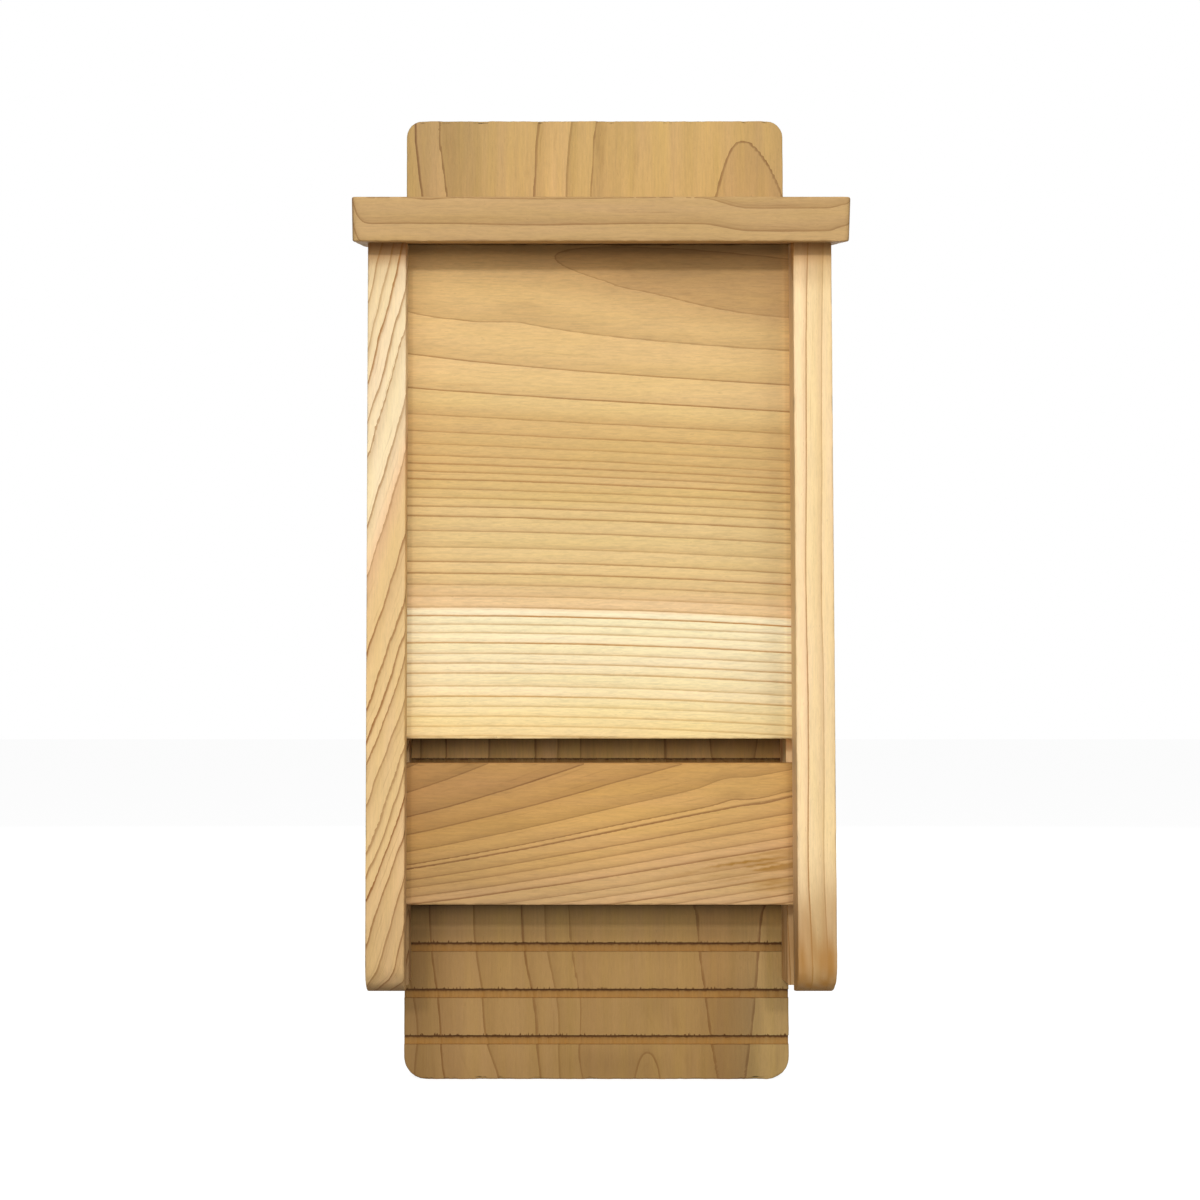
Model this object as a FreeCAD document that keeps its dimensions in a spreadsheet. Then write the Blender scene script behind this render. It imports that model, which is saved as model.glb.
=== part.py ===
import FreeCAD, Part
import Sketcher
import os

# A single-chamber bat box of six cedar boards held together by countersunk wood screws.
# Millimetres, +Z up. The origin is at the middle of the back board's foot, in the plane
# of the wall that the box hangs on. The box faces -Y, and +X is on the right of someone
# who looks at its front.

SIZES = [
    ("back_height", 500.0, "back board, foot to top"),
    ("back_thick", 19.0, "back board"),
    ("top_corner_radius", 8.5, "back board, upper corners"),
    ("foot_corner_radius", 11.5, "back board, lower corners"),
    ("grip_height", 4.6, "grip groove across the back board's front, its height"),
    ("grip_depth", 1.6, "grip groove, its depth into the board"),
    ("grip_first", 20.1, "height of the lowest grip groove's middle"),
    ("grip_pitch", 23.7, "from one grip groove to the next"),
    ("inner_width", 191.0, "between the two sides"),
    ("roost_depth", 20.0, "roost chamber, back board to front panels"),
    ("side_thick", 19.0, "sides"),
    ("side_foot", 51.0, "height of the sides' lower ends"),
    ("side_corner_radius", 15.0, "rounded lower front corner of a side"),
    ("front_recess", 14.5, "from the sides' front edges to the panels' faces"),
    ("rabbet_depth", 3.7, "rear rabbet in each side, for the back board's edge"),
    ("dado_depth", 3.7, "upright dado in each side, for the panels' ends"),
    ("seat_gap", 0.2, "play between a board's edge and its rabbet or dado"),
    ("panel_thick", 19.0, "front panels"),
    ("lower_panel_foot", 93.0, "height of the lower panel's lower edge"),
    ("lower_panel_height", 70.0, "lower panel"),
    ("vent_height", 12.0, "air slot between the panels"),
    ("roof_thick", 21.0, "roof board"),
    ("roof_width", 242.0, "roof board, left to right"),
    ("roof_slope", 13.5, "roof, degrees down towards the front"),
    ("roof_front_height", 437.0, "height of the roof's upper front edge"),
    ("roof_overhang", 18.5, "roof's front edge beyond the sides, measured level"),
    ("roof_corner_radius", 3.0, "roof's two upright front corners"),
    ("arris", 0.8, "eased long edges of the boards"),
    ("screw_length", 40.0, "wood screw, head to point"),
    ("screw_diameter", 4.0, "wood screw, shank"),
    ("screw_head", 8.0, "wood screw, diameter of its flat head"),
    ("screw_point", 5.0, "wood screw, length of its point"),
    ("drive_depth", 1.6, "cross recess in a screw's head, its depth"),
    ("drive_reach", 2.3, "cross recess, middle to the end of an arm"),
    ("drive_width", 1.1, "cross recess, width of an arm"),
    ("screw_fit", 0.2, "clearance round a screw, on the radius"),
    ("pilot_spare", 1.0, "pilot hole beyond the screw's point"),
    ("back_screw_inset", 34.0, "outermost back board screws from a side's ends"),
    ("upper_screw_inset", 30.0, "outermost upper panel screws from its edges"),
    ("lower_screw_inset", 16.0, "lower panel screws from its edges"),
    ("roof_screw_front", 12.0, "front roof screws behind a side's front edge"),
    ("roof_screw_rear", 9.0, "rear roof screws in front of the back board"),
    ("roof_end_inset", 28.0, "outermost roof end screws from the back board's edges"),
]

BACK_SCREWS = 3
UPPER_PANEL_SCREWS = 3
LOWER_PANEL_SCREWS = 2
ROOF_SCREWS = 2
ROOF_END_SCREWS = 3

# A cutting sketch reaches this far out of the board that it cuts.
OVERCUT = 1.0
# The full angle of a flat head's cone.
HEAD_ANGLE = 90.0
# The blunt end that a screw's point keeps, its radius.
TIP_RADIUS = 0.2
# Two places closer than this are the same place.
SAME_PLACE = 0.01

# Depths from the wall, as values of Y.
BACK_FRONT = "(-Sizes.back_thick)"
BACK_MIDDLE = "(-Sizes.back_thick / 2)"
PANEL_BACK = f"({BACK_FRONT} - Sizes.roost_depth)"
PANEL_MIDDLE = f"({PANEL_BACK} - Sizes.panel_thick / 2)"
PANEL_FRONT = f"({PANEL_BACK} - Sizes.panel_thick)"
SIDE_FRONT = f"({PANEL_FRONT} - Sizes.front_recess)"
ROOF_FRONT = f"({SIDE_FRONT} - Sizes.roof_overhang)"

# Distances from the middle plane, as values of X.
SIDE_INNER = "(Sizes.inner_width / 2)"
SIDE_MIDDLE = f"({SIDE_INNER} + Sizes.side_thick / 2)"
SIDE_OUTER = f"({SIDE_INNER} + Sizes.side_thick)"
BACK_EDGE = f"({SIDE_INNER} + Sizes.rabbet_depth - Sizes.seat_gap)"
PANEL_END = f"({SIDE_INNER} + Sizes.dado_depth - Sizes.seat_gap)"

# Heights, as values of Z.
LOWER_PANEL_TOP = "(Sizes.lower_panel_foot + Sizes.lower_panel_height)"
UPPER_PANEL_FOOT = f"({LOWER_PANEL_TOP} + Sizes.vent_height)"

ALONG_X = FreeCAD.Vector(1, 0, 0)
ALONG_Y = FreeCAD.Vector(0, 1, 0)
ALONG_Z = FreeCAD.Vector(0, 0, 1)


def roof_top(depth):
    """The height of the roof's upper face at a depth from the wall."""
    return f"(Sizes.roof_front_height + ({depth} - {ROOF_FRONT}) * tan(Sizes.roof_slope))"


def roof_underside(depth):
    """The height of the roof's lower face at a depth from the wall."""
    return f"({roof_top(depth)} - Sizes.roof_thick / cos(Sizes.roof_slope))"


def make_sheet(doc):
    """The spreadsheet of driving sizes, with one named cell for each."""
    sheet = doc.addObject("Spreadsheet::Sheet", "Sizes")
    for row, (alias, number, note) in enumerate(SIZES, start=1):
        sheet.set(f"A{row}", note)
        sheet.set(f"B{row}", str(number))
        sheet.setAlias(f"B{row}", alias)
    doc.recompute()
    return sheet


def new_body(doc, name):
    """An empty body whose label names its file."""
    body = doc.addObject("PartDesign::Body", name)
    body.Label = name
    return body


def origin_feature(body, role):
    """One of the body's own origin planes or axes."""
    return next(o for o in body.Origin.OriginFeatures if o.Role == role)


def new_sketch(body, name, role, base=("0", "0", "0"), tilt="0"):
    """A sketch on one of the body's origin planes.

    Its own origin is moved to base, in the plane's frame with the normal last, and
    it is turned by tilt about its own X axis.
    """
    sketch = body.newObject("Sketcher::SketchObject", name)
    sketch.AttachmentSupport = [(origin_feature(body, role), "")]
    sketch.MapMode = "FlatFace"
    sketch.setExpression("AttachmentOffset.Rotation.Axis.x", "1")
    sketch.setExpression("AttachmentOffset.Rotation.Axis.z", "0")
    sketch.setExpression("AttachmentOffset.Rotation.Angle", tilt)
    for axis, place in zip("xyz", base):
        sketch.setExpression(f"AttachmentOffset.Base.{axis}", place)
    return sketch


def tie_point(sketch, shape, end, place):
    """Ties one point of a sketch's line or circle to its two sizes."""
    axes = (("DistanceX", -2), ("DistanceY", -1))
    for size, (kind, axis) in zip(place, axes):
        number = float(sketch.evalExpression(size))
        if abs(number) < SAME_PLACE:
            sketch.addConstraint(Sketcher.Constraint("PointOnObject", shape, end, axis))
            continue
        tie = Sketcher.Constraint(kind, -1, 1, shape, end, number)
        sketch.setExpression(f"Constraints[{sketch.addConstraint(tie)}]", size)


def outline(sketch, corners):
    """A closed outline of straight lines through corners, each a pair of sizes."""
    spots = [[float(sketch.evalExpression(size)) for size in corner] for corner in corners]
    points = [FreeCAD.Vector(across, up, 0) for across, up in spots]
    for here, there in zip(points, points[1:] + points[:1]):
        sketch.addGeometry(Part.LineSegment(here, there))
    for here in range(len(corners)):
        after = (here + 1) % len(corners)
        sketch.addConstraint(Sketcher.Constraint("Coincident", here, 2, after, 1))
    for here, corner in enumerate(corners):
        tie_point(sketch, here, 1, corner)


def rectangle(sketch, left, right, low, high):
    """An upright rectangle between four sizes."""
    outline(sketch, [(left, low), (right, low), (right, high), (left, high)])


def circles(sketch, places, diameter):
    """A circle of one diameter at each place."""
    for shape, place in enumerate(places):
        spot = [float(sketch.evalExpression(size)) for size in place]
        radius = float(sketch.evalExpression(diameter)) / 2
        sketch.addGeometry(Part.Circle(FreeCAD.Vector(*spot, 0), ALONG_Z, radius))
        tie_point(sketch, shape, 3, place)
        tie = Sketcher.Constraint("Diameter", shape, 2 * radius)
        sketch.setExpression(f"Constraints[{sketch.addConstraint(tie)}]", diameter)


def pad(body, sketch, length, side="One side", backwards=False):
    """Pads a sketch by a size, along its normal unless backwards."""
    feature = body.newObject("PartDesign::Pad", f"{sketch.Name}_pad")
    feature.Profile = sketch
    feature.SideType = side
    feature.Reversed = backwards
    feature.setExpression("Length", length)
    body.Document.recompute()
    return feature


def pocket(body, sketch, length, side="One side", backwards=False):
    """Cuts a sketch by a size, against its normal unless backwards, and shows that it cut."""
    before = body.Shape.Volume
    feature = body.newObject("PartDesign::Pocket", f"{sketch.Name}_pocket")
    feature.Profile = sketch
    feature.SideType = side
    feature.Reversed = backwards
    feature.setExpression("Length", length)
    body.Document.recompute()
    if body.Shape.Volume > before - SAME_PLACE:
        raise RuntimeError(f"{feature.Name} cuts nothing")
    return feature


def edges_where(shape, test):
    """The names of the edges of a shape that pass a test."""
    return [f"Edge{i}" for i, edge in enumerate(shape.Edges, start=1) if test(edge)]


def fillet(body, name, radius, test):
    """Rounds the edges of the body's last feature that pass a test."""
    body.Document.recompute()
    base = body.Tip
    feature = body.newObject("PartDesign::Fillet", name)
    feature.Base = (base, edges_where(base.Shape, test))
    feature.setExpression("Radius", radius)
    body.Document.recompute()
    return feature


def is_line_along(edge, direction):
    """Whether an edge is a straight line along a direction."""
    if edge.Curve.TypeId != "Part::GeomLine":
        return False
    return edge.Curve.Direction.cross(direction).Length < SAME_PLACE


def lies_at(edge, axis, place):
    """Whether the whole edge lies at one place on an axis, X, Y or Z."""
    box = edge.BoundBox
    low = getattr(box, f"{axis}Min")
    high = getattr(box, f"{axis}Max")
    return abs(low - place) < SAME_PLACE and abs(high - place) < SAME_PLACE


class ScrewRow:
    """A row of like screws, with the plane that their heads lie in and their holes.

    The plane is an origin plane, moved to base and turned by tilt. The row runs from
    first to last, each a pair of sizes in that plane. Inwards is True where the screws
    go along the plane's normal, and False where they go against it.
    """

    def __init__(self, role, base, first, last, count, inwards, tilt="0"):
        self.role = role
        self.base = base
        self.first = first
        self.last = last
        self.count = count
        self.inwards = inwards
        self.tilt = tilt

    def places(self):
        """The middle of each screw's head in the plane, as pairs of sizes."""
        gaps = max(self.count - 1, 1)
        return [
            tuple(f"({a} + ({b} - {a}) * {i} / {gaps})" for a, b in zip(self.first, self.last))
            for i in range(self.count)
        ]

    def plane(self, body, name, depth="0"):
        """A sketch across the screws, at a depth below the heads' plane."""
        over, along, out = self.base
        sign = "+" if self.inwards else "-"
        moved = (
            over,
            f"{along} - ({sign}1) * ({depth}) * sin({self.tilt})",
            f"{out} + ({sign}1) * ({depth}) * cos({self.tilt})",
        )
        return new_sketch(body, name, self.role, moved, self.tilt)

    def discs(self, body, name, diameter, depth="0"):
        """A sketch of one disc for each screw."""
        sketch = self.plane(body, name, depth)
        circles(sketch, self.places(), diameter)
        return sketch

    def clear(self, body, name):
        """Cuts countersunk clearance holes in the board that the heads lie in."""
        diameter = "Sizes.screw_diameter + 2 * Sizes.screw_fit"
        sketch = self.discs(body, f"{name}_clear", diameter)
        body.Document.recompute()
        before = body.Shape.Volume
        hole = body.newObject("PartDesign::Hole", f"{name}_holes")
        hole.Profile = sketch
        body.Document.recompute()
        hole.ThreadType = "None"
        hole.Reversed = self.inwards
        hole.DepthType = "Dimension"
        hole.DrillPoint = "Flat"
        hole.HoleCutType = "Countersink"
        hole.HoleCutCustomValues = True
        hole.HoleCutCountersinkAngle = HEAD_ANGLE
        hole.setExpression("Diameter", diameter)
        hole.setExpression("HoleCutDiameter", "Sizes.screw_head + 2 * Sizes.screw_fit")
        hole.setExpression("Depth", "Sizes.screw_length")
        body.Document.recompute()
        if body.Shape.Volume > before - SAME_PLACE:
            raise RuntimeError(f"{hole.Name} cuts nothing")

    def pilot(self, body, name):
        """Cuts pilot holes in the board that the points go into."""
        diameter = "Sizes.screw_diameter + 2 * Sizes.screw_fit"
        sketch = self.discs(body, f"{name}_pilot", diameter)
        depth = "Sizes.screw_length + Sizes.pilot_spare"
        pocket(body, sketch, depth, backwards=self.inwards)

    def fill(self, doc, name):
        """The row's screws, as the separate solids of one body."""
        body = new_body(doc, name)
        against = not self.inwards
        head = self.discs(body, f"{name}_head", "Sizes.screw_head")
        neck = "(Sizes.screw_head - Sizes.screw_diameter) / 2"
        cone = pad(body, head, neck, backwards=against)
        cone.TaperAngle = -HEAD_ANGLE / 2
        shank = self.discs(body, f"{name}_shank", "Sizes.screw_diameter")
        pad(body, shank, "Sizes.screw_length - Sizes.screw_point", backwards=against)
        root = "Sizes.screw_length - Sizes.screw_point"
        point = self.discs(body, f"{name}_point", "Sizes.screw_diameter", root)
        tip = pad(body, point, "Sizes.screw_point", backwards=against)
        taper = f"-atan((Sizes.screw_diameter / 2 - {TIP_RADIUS}) / Sizes.screw_point)"
        tip.setExpression("TaperAngle", taper)
        for number, place in enumerate(self.places(), start=1):
            recess = self.plane(body, f"{name}_recess_{number}")
            cross(recess, place)
            pocket(body, recess, "Sizes.drive_depth", backwards=self.inwards)
        return body


def cross(sketch, place):
    """The outline of a cross recess about a place."""
    reach = "Sizes.drive_reach"
    half = "Sizes.drive_width / 2"
    quarter = [(reach, half), (half, half), (half, reach)]
    turns = [("", "", False), ("-", "", True), ("-", "-", False), ("", "-", True)]
    corners = []
    for across_sign, up_sign, mirrored in turns:
        points = reversed(quarter) if mirrored else quarter
        for across, up in points:
            corners.append(
                (f"{place[0]} + ({across_sign}{across})", f"{place[1]} + ({up_sign}{up})")
            )
    outline(sketch, corners)


def side_row(hand, depth, low, high, count):
    """A row of screws driven through a side, one above the other."""
    base = ("0", "0", f"{hand} * {SIDE_OUTER}")
    return ScrewRow("YZ_Plane", base, (depth, low), (depth, high), count, hand < 0)


def roof_row(hand):
    """A row of screws driven down through the roof into the top of a side."""
    along = "cos(Sizes.roof_slope)"
    front = f"(Sizes.roof_overhang + Sizes.roof_screw_front) / {along}"
    rear = f"({BACK_FRONT} - Sizes.roof_screw_rear - {ROOF_FRONT}) / {along}"
    across = f"{hand} * {SIDE_MIDDLE}"
    base = ("0", ROOF_FRONT, "Sizes.roof_front_height")
    first, last = (across, f"({front})"), (across, f"({rear})")
    return ScrewRow("XY_Plane", base, first, last, ROOF_SCREWS, False, "Sizes.roof_slope")


def roof_end_row():
    """A row of screws driven from the wall side through the back board into the roof."""
    reach = f"({BACK_EDGE} - Sizes.roof_end_inset)"
    height = f"(({roof_top(BACK_FRONT)} + {roof_underside(BACK_FRONT)}) / 2)"
    first, last = (f"(-{reach})", height), (reach, height)
    return ScrewRow("XZ_Plane", ("0", "0", "0"), first, last, ROOF_END_SCREWS, True)


def screw_rows():
    """Every row of screws, with the board it passes through and the board it holds."""
    rows = [("roof_end_screws", roof_end_row(), "back_board", "roof")]
    for hand, word in ((-1, "left"), (1, "right")):
        side = f"{word}_side"
        back_low = "(Sizes.side_foot + Sizes.back_screw_inset)"
        back_high = f"({roof_underside(BACK_MIDDLE)} - Sizes.back_screw_inset)"
        back = side_row(hand, BACK_MIDDLE, back_low, back_high, BACK_SCREWS)
        upper_low = f"({UPPER_PANEL_FOOT} + Sizes.upper_screw_inset)"
        upper_high = f"({roof_underside(PANEL_FRONT)} - Sizes.upper_screw_inset)"
        upper = side_row(hand, PANEL_MIDDLE, upper_low, upper_high, UPPER_PANEL_SCREWS)
        lower_low = "(Sizes.lower_panel_foot + Sizes.lower_screw_inset)"
        lower_high = f"({LOWER_PANEL_TOP} - Sizes.lower_screw_inset)"
        lower = side_row(hand, PANEL_MIDDLE, lower_low, lower_high, LOWER_PANEL_SCREWS)
        rows += [
            (f"{word}_back_screws", back, side, "back_board"),
            (f"{word}_upper_screws", upper, side, "upper_front_panel"),
            (f"{word}_lower_screws", lower, side, "lower_front_panel"),
            (f"{word}_roof_screws", roof_row(hand), "roof", side),
        ]
    return rows


def make_back_board(doc):
    """The back board: rounded corners and a ladder of grip grooves up to the roof."""
    body = new_body(doc, "back_board")
    face = new_sketch(body, "back_face", "XZ_Plane")
    rectangle(face, f"(-{BACK_EDGE})", BACK_EDGE, "0", "Sizes.back_height")
    pad(body, face, "Sizes.back_thick")
    height = float(face.evalExpression("Sizes.back_height"))

    def foot_corner(edge):
        return is_line_along(edge, ALONG_Y) and lies_at(edge, "Z", 0)

    def top_corner(edge):
        return is_line_along(edge, ALONG_Y) and lies_at(edge, "Z", height)

    fillet(body, "back_foot_corners", "Sizes.foot_corner_radius", foot_corner)
    fillet(body, "back_top_corners", "Sizes.top_corner_radius", top_corner)
    front = float(face.evalExpression(BACK_FRONT))
    fillet(body, "back_arris", "Sizes.arris", lambda edge: lies_at(edge, "Y", front))
    grip = new_sketch(body, "back_grip", "YZ_Plane")
    proud = f"({BACK_FRONT} - {OVERCUT})"
    floor = f"({BACK_FRONT} + Sizes.grip_depth)"
    low = "(Sizes.grip_first - Sizes.grip_height / 2)"
    high = "(Sizes.grip_first + Sizes.grip_height / 2)"
    rectangle(grip, proud, floor, low, high)
    groove = pocket(body, grip, f"2 * ({BACK_EDGE} + {OVERCUT})", side="Symmetric")
    ladder = body.newObject("PartDesign::LinearPattern", "back_grips")
    ladder.Originals = [groove]
    ladder.Direction = (origin_feature(body, "Z_Axis"), [""])
    ladder.Mode = "Spacing"
    ladder.setExpression("Offset", "Sizes.grip_pitch")
    room = f"({roof_underside(BACK_FRONT)} - {high})"
    ladder.setExpression("Occurrences", f"floor({room} / Sizes.grip_pitch) + 1")
    body.Tip = ladder
    doc.recompute()
    return body


def make_side(doc, hand, name):
    """A side: its top cut to the roof's slope, a rear rabbet and an upright dado.

    Hand is 1 for the side at +X and -1 for the side at -X.
    """
    body = new_body(doc, name)
    inner = ("0", "0", f"{hand} * {SIDE_INNER}")
    away = hand < 0
    outer = new_sketch(body, f"{name}_outline", "YZ_Plane", inner)
    corners = [
        ("0", "Sizes.side_foot"),
        ("0", roof_underside("0")),
        (SIDE_FRONT, roof_underside(SIDE_FRONT)),
        (SIDE_FRONT, "Sizes.side_foot"),
    ]
    outline(outer, corners)
    pad(body, outer, "Sizes.side_thick", backwards=away)
    front = float(outer.evalExpression(SIDE_FRONT))
    foot = float(outer.evalExpression("Sizes.side_foot"))
    faces = [float(outer.evalExpression(f"{hand} * {place}")) for place in (SIDE_INNER, SIDE_OUTER)]

    def foot_corner(edge):
        return lies_at(edge, "Y", front) and lies_at(edge, "Z", foot)

    def front_edge(edge):
        on_a_face = any(lies_at(edge, "X", face) for face in faces)
        return on_a_face and lies_at(edge, "Y", front)

    fillet(body, f"{name}_foot_corner", "Sizes.side_corner_radius", foot_corner)
    fillet(body, f"{name}_arris", "Sizes.arris", front_edge)
    rabbet = new_sketch(body, f"{name}_rabbet", "YZ_Plane", inner)
    low = f"(Sizes.side_foot - {OVERCUT})"
    high = f"({roof_underside('0')} + {OVERCUT})"
    rectangle(rabbet, f"({BACK_FRONT} - Sizes.seat_gap)", f"{OVERCUT}", low, high)
    pocket(body, rabbet, "Sizes.rabbet_depth", backwards=not away)
    dado = new_sketch(body, f"{name}_dado", "YZ_Plane", inner)
    before = f"({PANEL_FRONT} - Sizes.seat_gap)"
    behind = f"({PANEL_BACK} + Sizes.seat_gap)"
    rectangle(dado, before, behind, low, high)
    pocket(body, dado, "Sizes.dado_depth", backwards=not away)
    return body


def make_upper_front_panel(doc):
    """The upper front panel, its top edge cut to the roof's slope."""
    body = new_body(doc, "upper_front_panel")
    section = new_sketch(body, "upper_section", "YZ_Plane")
    corners = [
        (PANEL_BACK, UPPER_PANEL_FOOT),
        (PANEL_BACK, roof_underside(PANEL_BACK)),
        (PANEL_FRONT, roof_underside(PANEL_FRONT)),
        (PANEL_FRONT, UPPER_PANEL_FOOT),
    ]
    outline(section, corners)
    pad(body, section, f"2 * {PANEL_END}", side="Symmetric")
    front = float(section.evalExpression(PANEL_FRONT))
    foot = float(section.evalExpression(UPPER_PANEL_FOOT))
    fillet(
        body,
        "upper_arris",
        "Sizes.arris",
        lambda edge: lies_at(edge, "Y", front) and lies_at(edge, "Z", foot),
    )
    return body


def make_lower_front_panel(doc):
    """The lower front panel, between the vent and the open entrance."""
    body = new_body(doc, "lower_front_panel")
    section = new_sketch(body, "lower_section", "YZ_Plane")
    rectangle(section, PANEL_FRONT, PANEL_BACK, "Sizes.lower_panel_foot", LOWER_PANEL_TOP)
    pad(body, section, f"2 * {PANEL_END}", side="Symmetric")
    front = float(section.evalExpression(PANEL_FRONT))
    fillet(
        body,
        "lower_arris",
        "Sizes.arris",
        lambda edge: is_line_along(edge, ALONG_X) and lies_at(edge, "Y", front),
    )
    return body


def make_roof(doc):
    """The sloping roof board: a square-cut front, and a plumb rear end on the back board."""
    body = new_body(doc, "roof")
    section = new_sketch(body, "roof_section", "YZ_Plane")
    under_front = f"({ROOF_FRONT} + Sizes.roof_thick * sin(Sizes.roof_slope))"
    corners = [
        (ROOF_FRONT, "Sizes.roof_front_height"),
        (BACK_FRONT, roof_top(BACK_FRONT)),
        (BACK_FRONT, roof_underside(BACK_FRONT)),
        (under_front, roof_underside(under_front)),
    ]
    outline(section, corners)
    pad(body, section, "Sizes.roof_width", side="Symmetric")
    front = float(section.evalExpression(under_front))

    def in_front_end(edge):
        return edge.BoundBox.YMax < front + SAME_PLACE

    def front_corner(edge):
        return in_front_end(edge) and not is_line_along(edge, ALONG_X)

    def front_arris(edge):
        return in_front_end(edge) and is_line_along(edge, ALONG_X)

    fillet(body, "roof_front_corners", "Sizes.roof_corner_radius", front_corner)
    fillet(body, "roof_arris", "Sizes.arris", front_arris)
    return body


def check(doc, bodies):
    """Stops if any object failed, or if a body is not made of whole solids."""
    failed = [o.Name for o in doc.Objects if {"Invalid", "Error"} & set(o.State)]
    for body in bodies:
        shape = body.Shape
        if shape.isNull() or not shape.isValid() or not shape.Solids:
            failed.append(body.Name)
    if failed:
        raise RuntimeError(f"failed: {', '.join(failed)}")


def main():
    doc = FreeCAD.newDocument("bat_box")
    make_sheet(doc)
    boards = {
        "back_board": make_back_board(doc),
        "left_side": make_side(doc, -1, "left_side"),
        "right_side": make_side(doc, 1, "right_side"),
        "upper_front_panel": make_upper_front_panel(doc),
        "lower_front_panel": make_lower_front_panel(doc),
        "roof": make_roof(doc),
    }
    bodies = list(boards.values())
    for name, row, outer, inner in screw_rows():
        row.clear(boards[outer], f"{name}_{outer}")
        row.pilot(boards[inner], f"{name}_{inner}")
        bodies.append(row.fill(doc, name))
    doc.recompute()
    check(doc, bodies)
    os.makedirs("parts", exist_ok=True)
    for body in bodies:
        body.Shape.exportStep(f"parts/{body.Label}.step")
        box = body.Shape.BoundBox
        print(
            f"{body.Label}: {len(body.Shape.Solids)} solids, {body.Shape.Volume:.0f} mm3, "
            f"x {box.XMin:.1f} to {box.XMax:.1f}, y {box.YMin:.1f} to {box.YMax:.1f}, "
            f"z {box.ZMin:.1f} to {box.ZMax:.1f}"
        )


main()
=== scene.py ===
"""Looks of a wall-hung bat box made of bare softwood boards.

Lengths are in millimetres while a shape is worked out and in metres in the mesh.
"""

import logging
import math
from dataclasses import dataclass
from enum import Enum, IntEnum
from typing import Any, ClassVar

import bpy
import numpy as np
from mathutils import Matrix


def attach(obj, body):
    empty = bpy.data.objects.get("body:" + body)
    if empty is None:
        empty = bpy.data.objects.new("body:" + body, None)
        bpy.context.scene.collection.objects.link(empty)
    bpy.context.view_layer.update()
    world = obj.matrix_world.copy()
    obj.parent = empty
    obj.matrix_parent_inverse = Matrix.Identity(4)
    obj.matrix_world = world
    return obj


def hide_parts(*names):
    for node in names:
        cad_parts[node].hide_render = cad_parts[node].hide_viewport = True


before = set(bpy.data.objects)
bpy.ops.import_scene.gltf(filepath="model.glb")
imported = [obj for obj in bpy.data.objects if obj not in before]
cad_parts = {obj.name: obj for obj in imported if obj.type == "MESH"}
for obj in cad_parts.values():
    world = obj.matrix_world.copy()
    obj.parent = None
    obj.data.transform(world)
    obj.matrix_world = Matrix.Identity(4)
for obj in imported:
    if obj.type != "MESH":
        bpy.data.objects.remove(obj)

LOG = logging.getLogger("bat_box")
MM = 0.001
SCREEN_KNEE, SCREEN_SLOPE, SCREEN_OFFSET, SCREEN_POWER = 0.04045, 12.92, 0.055, 2.4
LONGEST_WAVE, RIPPLE_LEVEL = 4.0, 1.2
CORNER_POINTS = 7

Array = np.ndarray
RGB = tuple[float, float, float]
Waves = tuple[tuple[float, tuple[float, ...]], ...]
Pairs = tuple[tuple[float, float], ...]
Stops = tuple[tuple[float, RGB], ...]
Grid = tuple[Array, Array]


def linear(colour: RGB) -> tuple[float, float, float, float]:
    """Turns a screen colour into the linear one that a node takes.

    Args:
        colour: red, green and blue from 0 to 255.

    Returns:
        The linear colour, with an alpha of one.
    """
    parts = np.asarray(colour, float) / 255
    bright = ((parts + SCREEN_OFFSET) / (1 + SCREEN_OFFSET)) ** SCREEN_POWER
    red, green, blue = np.where(parts <= SCREEN_KNEE, parts / SCREEN_SLOPE, bright)
    return (float(red), float(green), float(blue), 1.0)


def ripple(points: Array, wavelengths: tuple[float, ...], seed: int, waves: int = 20) -> Array:
    """Gives smooth seeded noise: the sum of plane waves of random direction, length and phase.

    Args:
        points: places, one row for each, in millimetres.
        wavelengths: the shortest wavelength along each axis; the longest wave is four times that.
        seed: which noise.
        waves: how many plane waves are added.

    Returns:
        One value for each place, mostly between -1 and 1.
    """
    dice = np.random.default_rng(seed)
    reach = dice.uniform(1 / LONGEST_WAVE, 1.0, (waves, 1)) * 2 * np.pi / np.asarray(wavelengths)
    heading = dice.normal(size=(waves, len(wavelengths)))
    heading /= np.linalg.norm(heading, axis=1, keepdims=True)
    phase = dice.uniform(0, 2 * np.pi, waves)
    return np.sin(points @ (heading * reach).T + phase).sum(axis=1) * math.sqrt(RIPPLE_LEVEL / waves)


def ripples(points: Array, waves: Waves, seed: int) -> Array:
    """The sum of ripples, each an amount and its wavelengths, whose seeds count up from one."""
    return sum(amount * ripple(points, lengths, seed + turn) for turn, (amount, lengths) in enumerate(waves))


def smooth(value: Array, low: float, high: float) -> Array:
    """A smooth step from 0 at low to 1 at high, or the other way round where low is the larger."""
    part = np.clip((value - low) / (high - low), 0, 1)
    return part * part * (3 - 2 * part)


def bump(value: Array, middle: float, width: float) -> Array:
    """A bell curve of height one about middle."""
    return np.exp(-(((value - middle) / width) ** 2))


def polynomial(value: Array, *parts: float) -> Array:
    """A polynomial of a value, from its constant part up."""
    return sum(part * value ** power for power, part in enumerate(parts))


def through(value: Array, pairs: Pairs) -> Array:
    """The height at a place of the line through (place, height) pairs, level beyond its ends."""
    return np.interp(value, *np.array(pairs, float).T)


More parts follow.
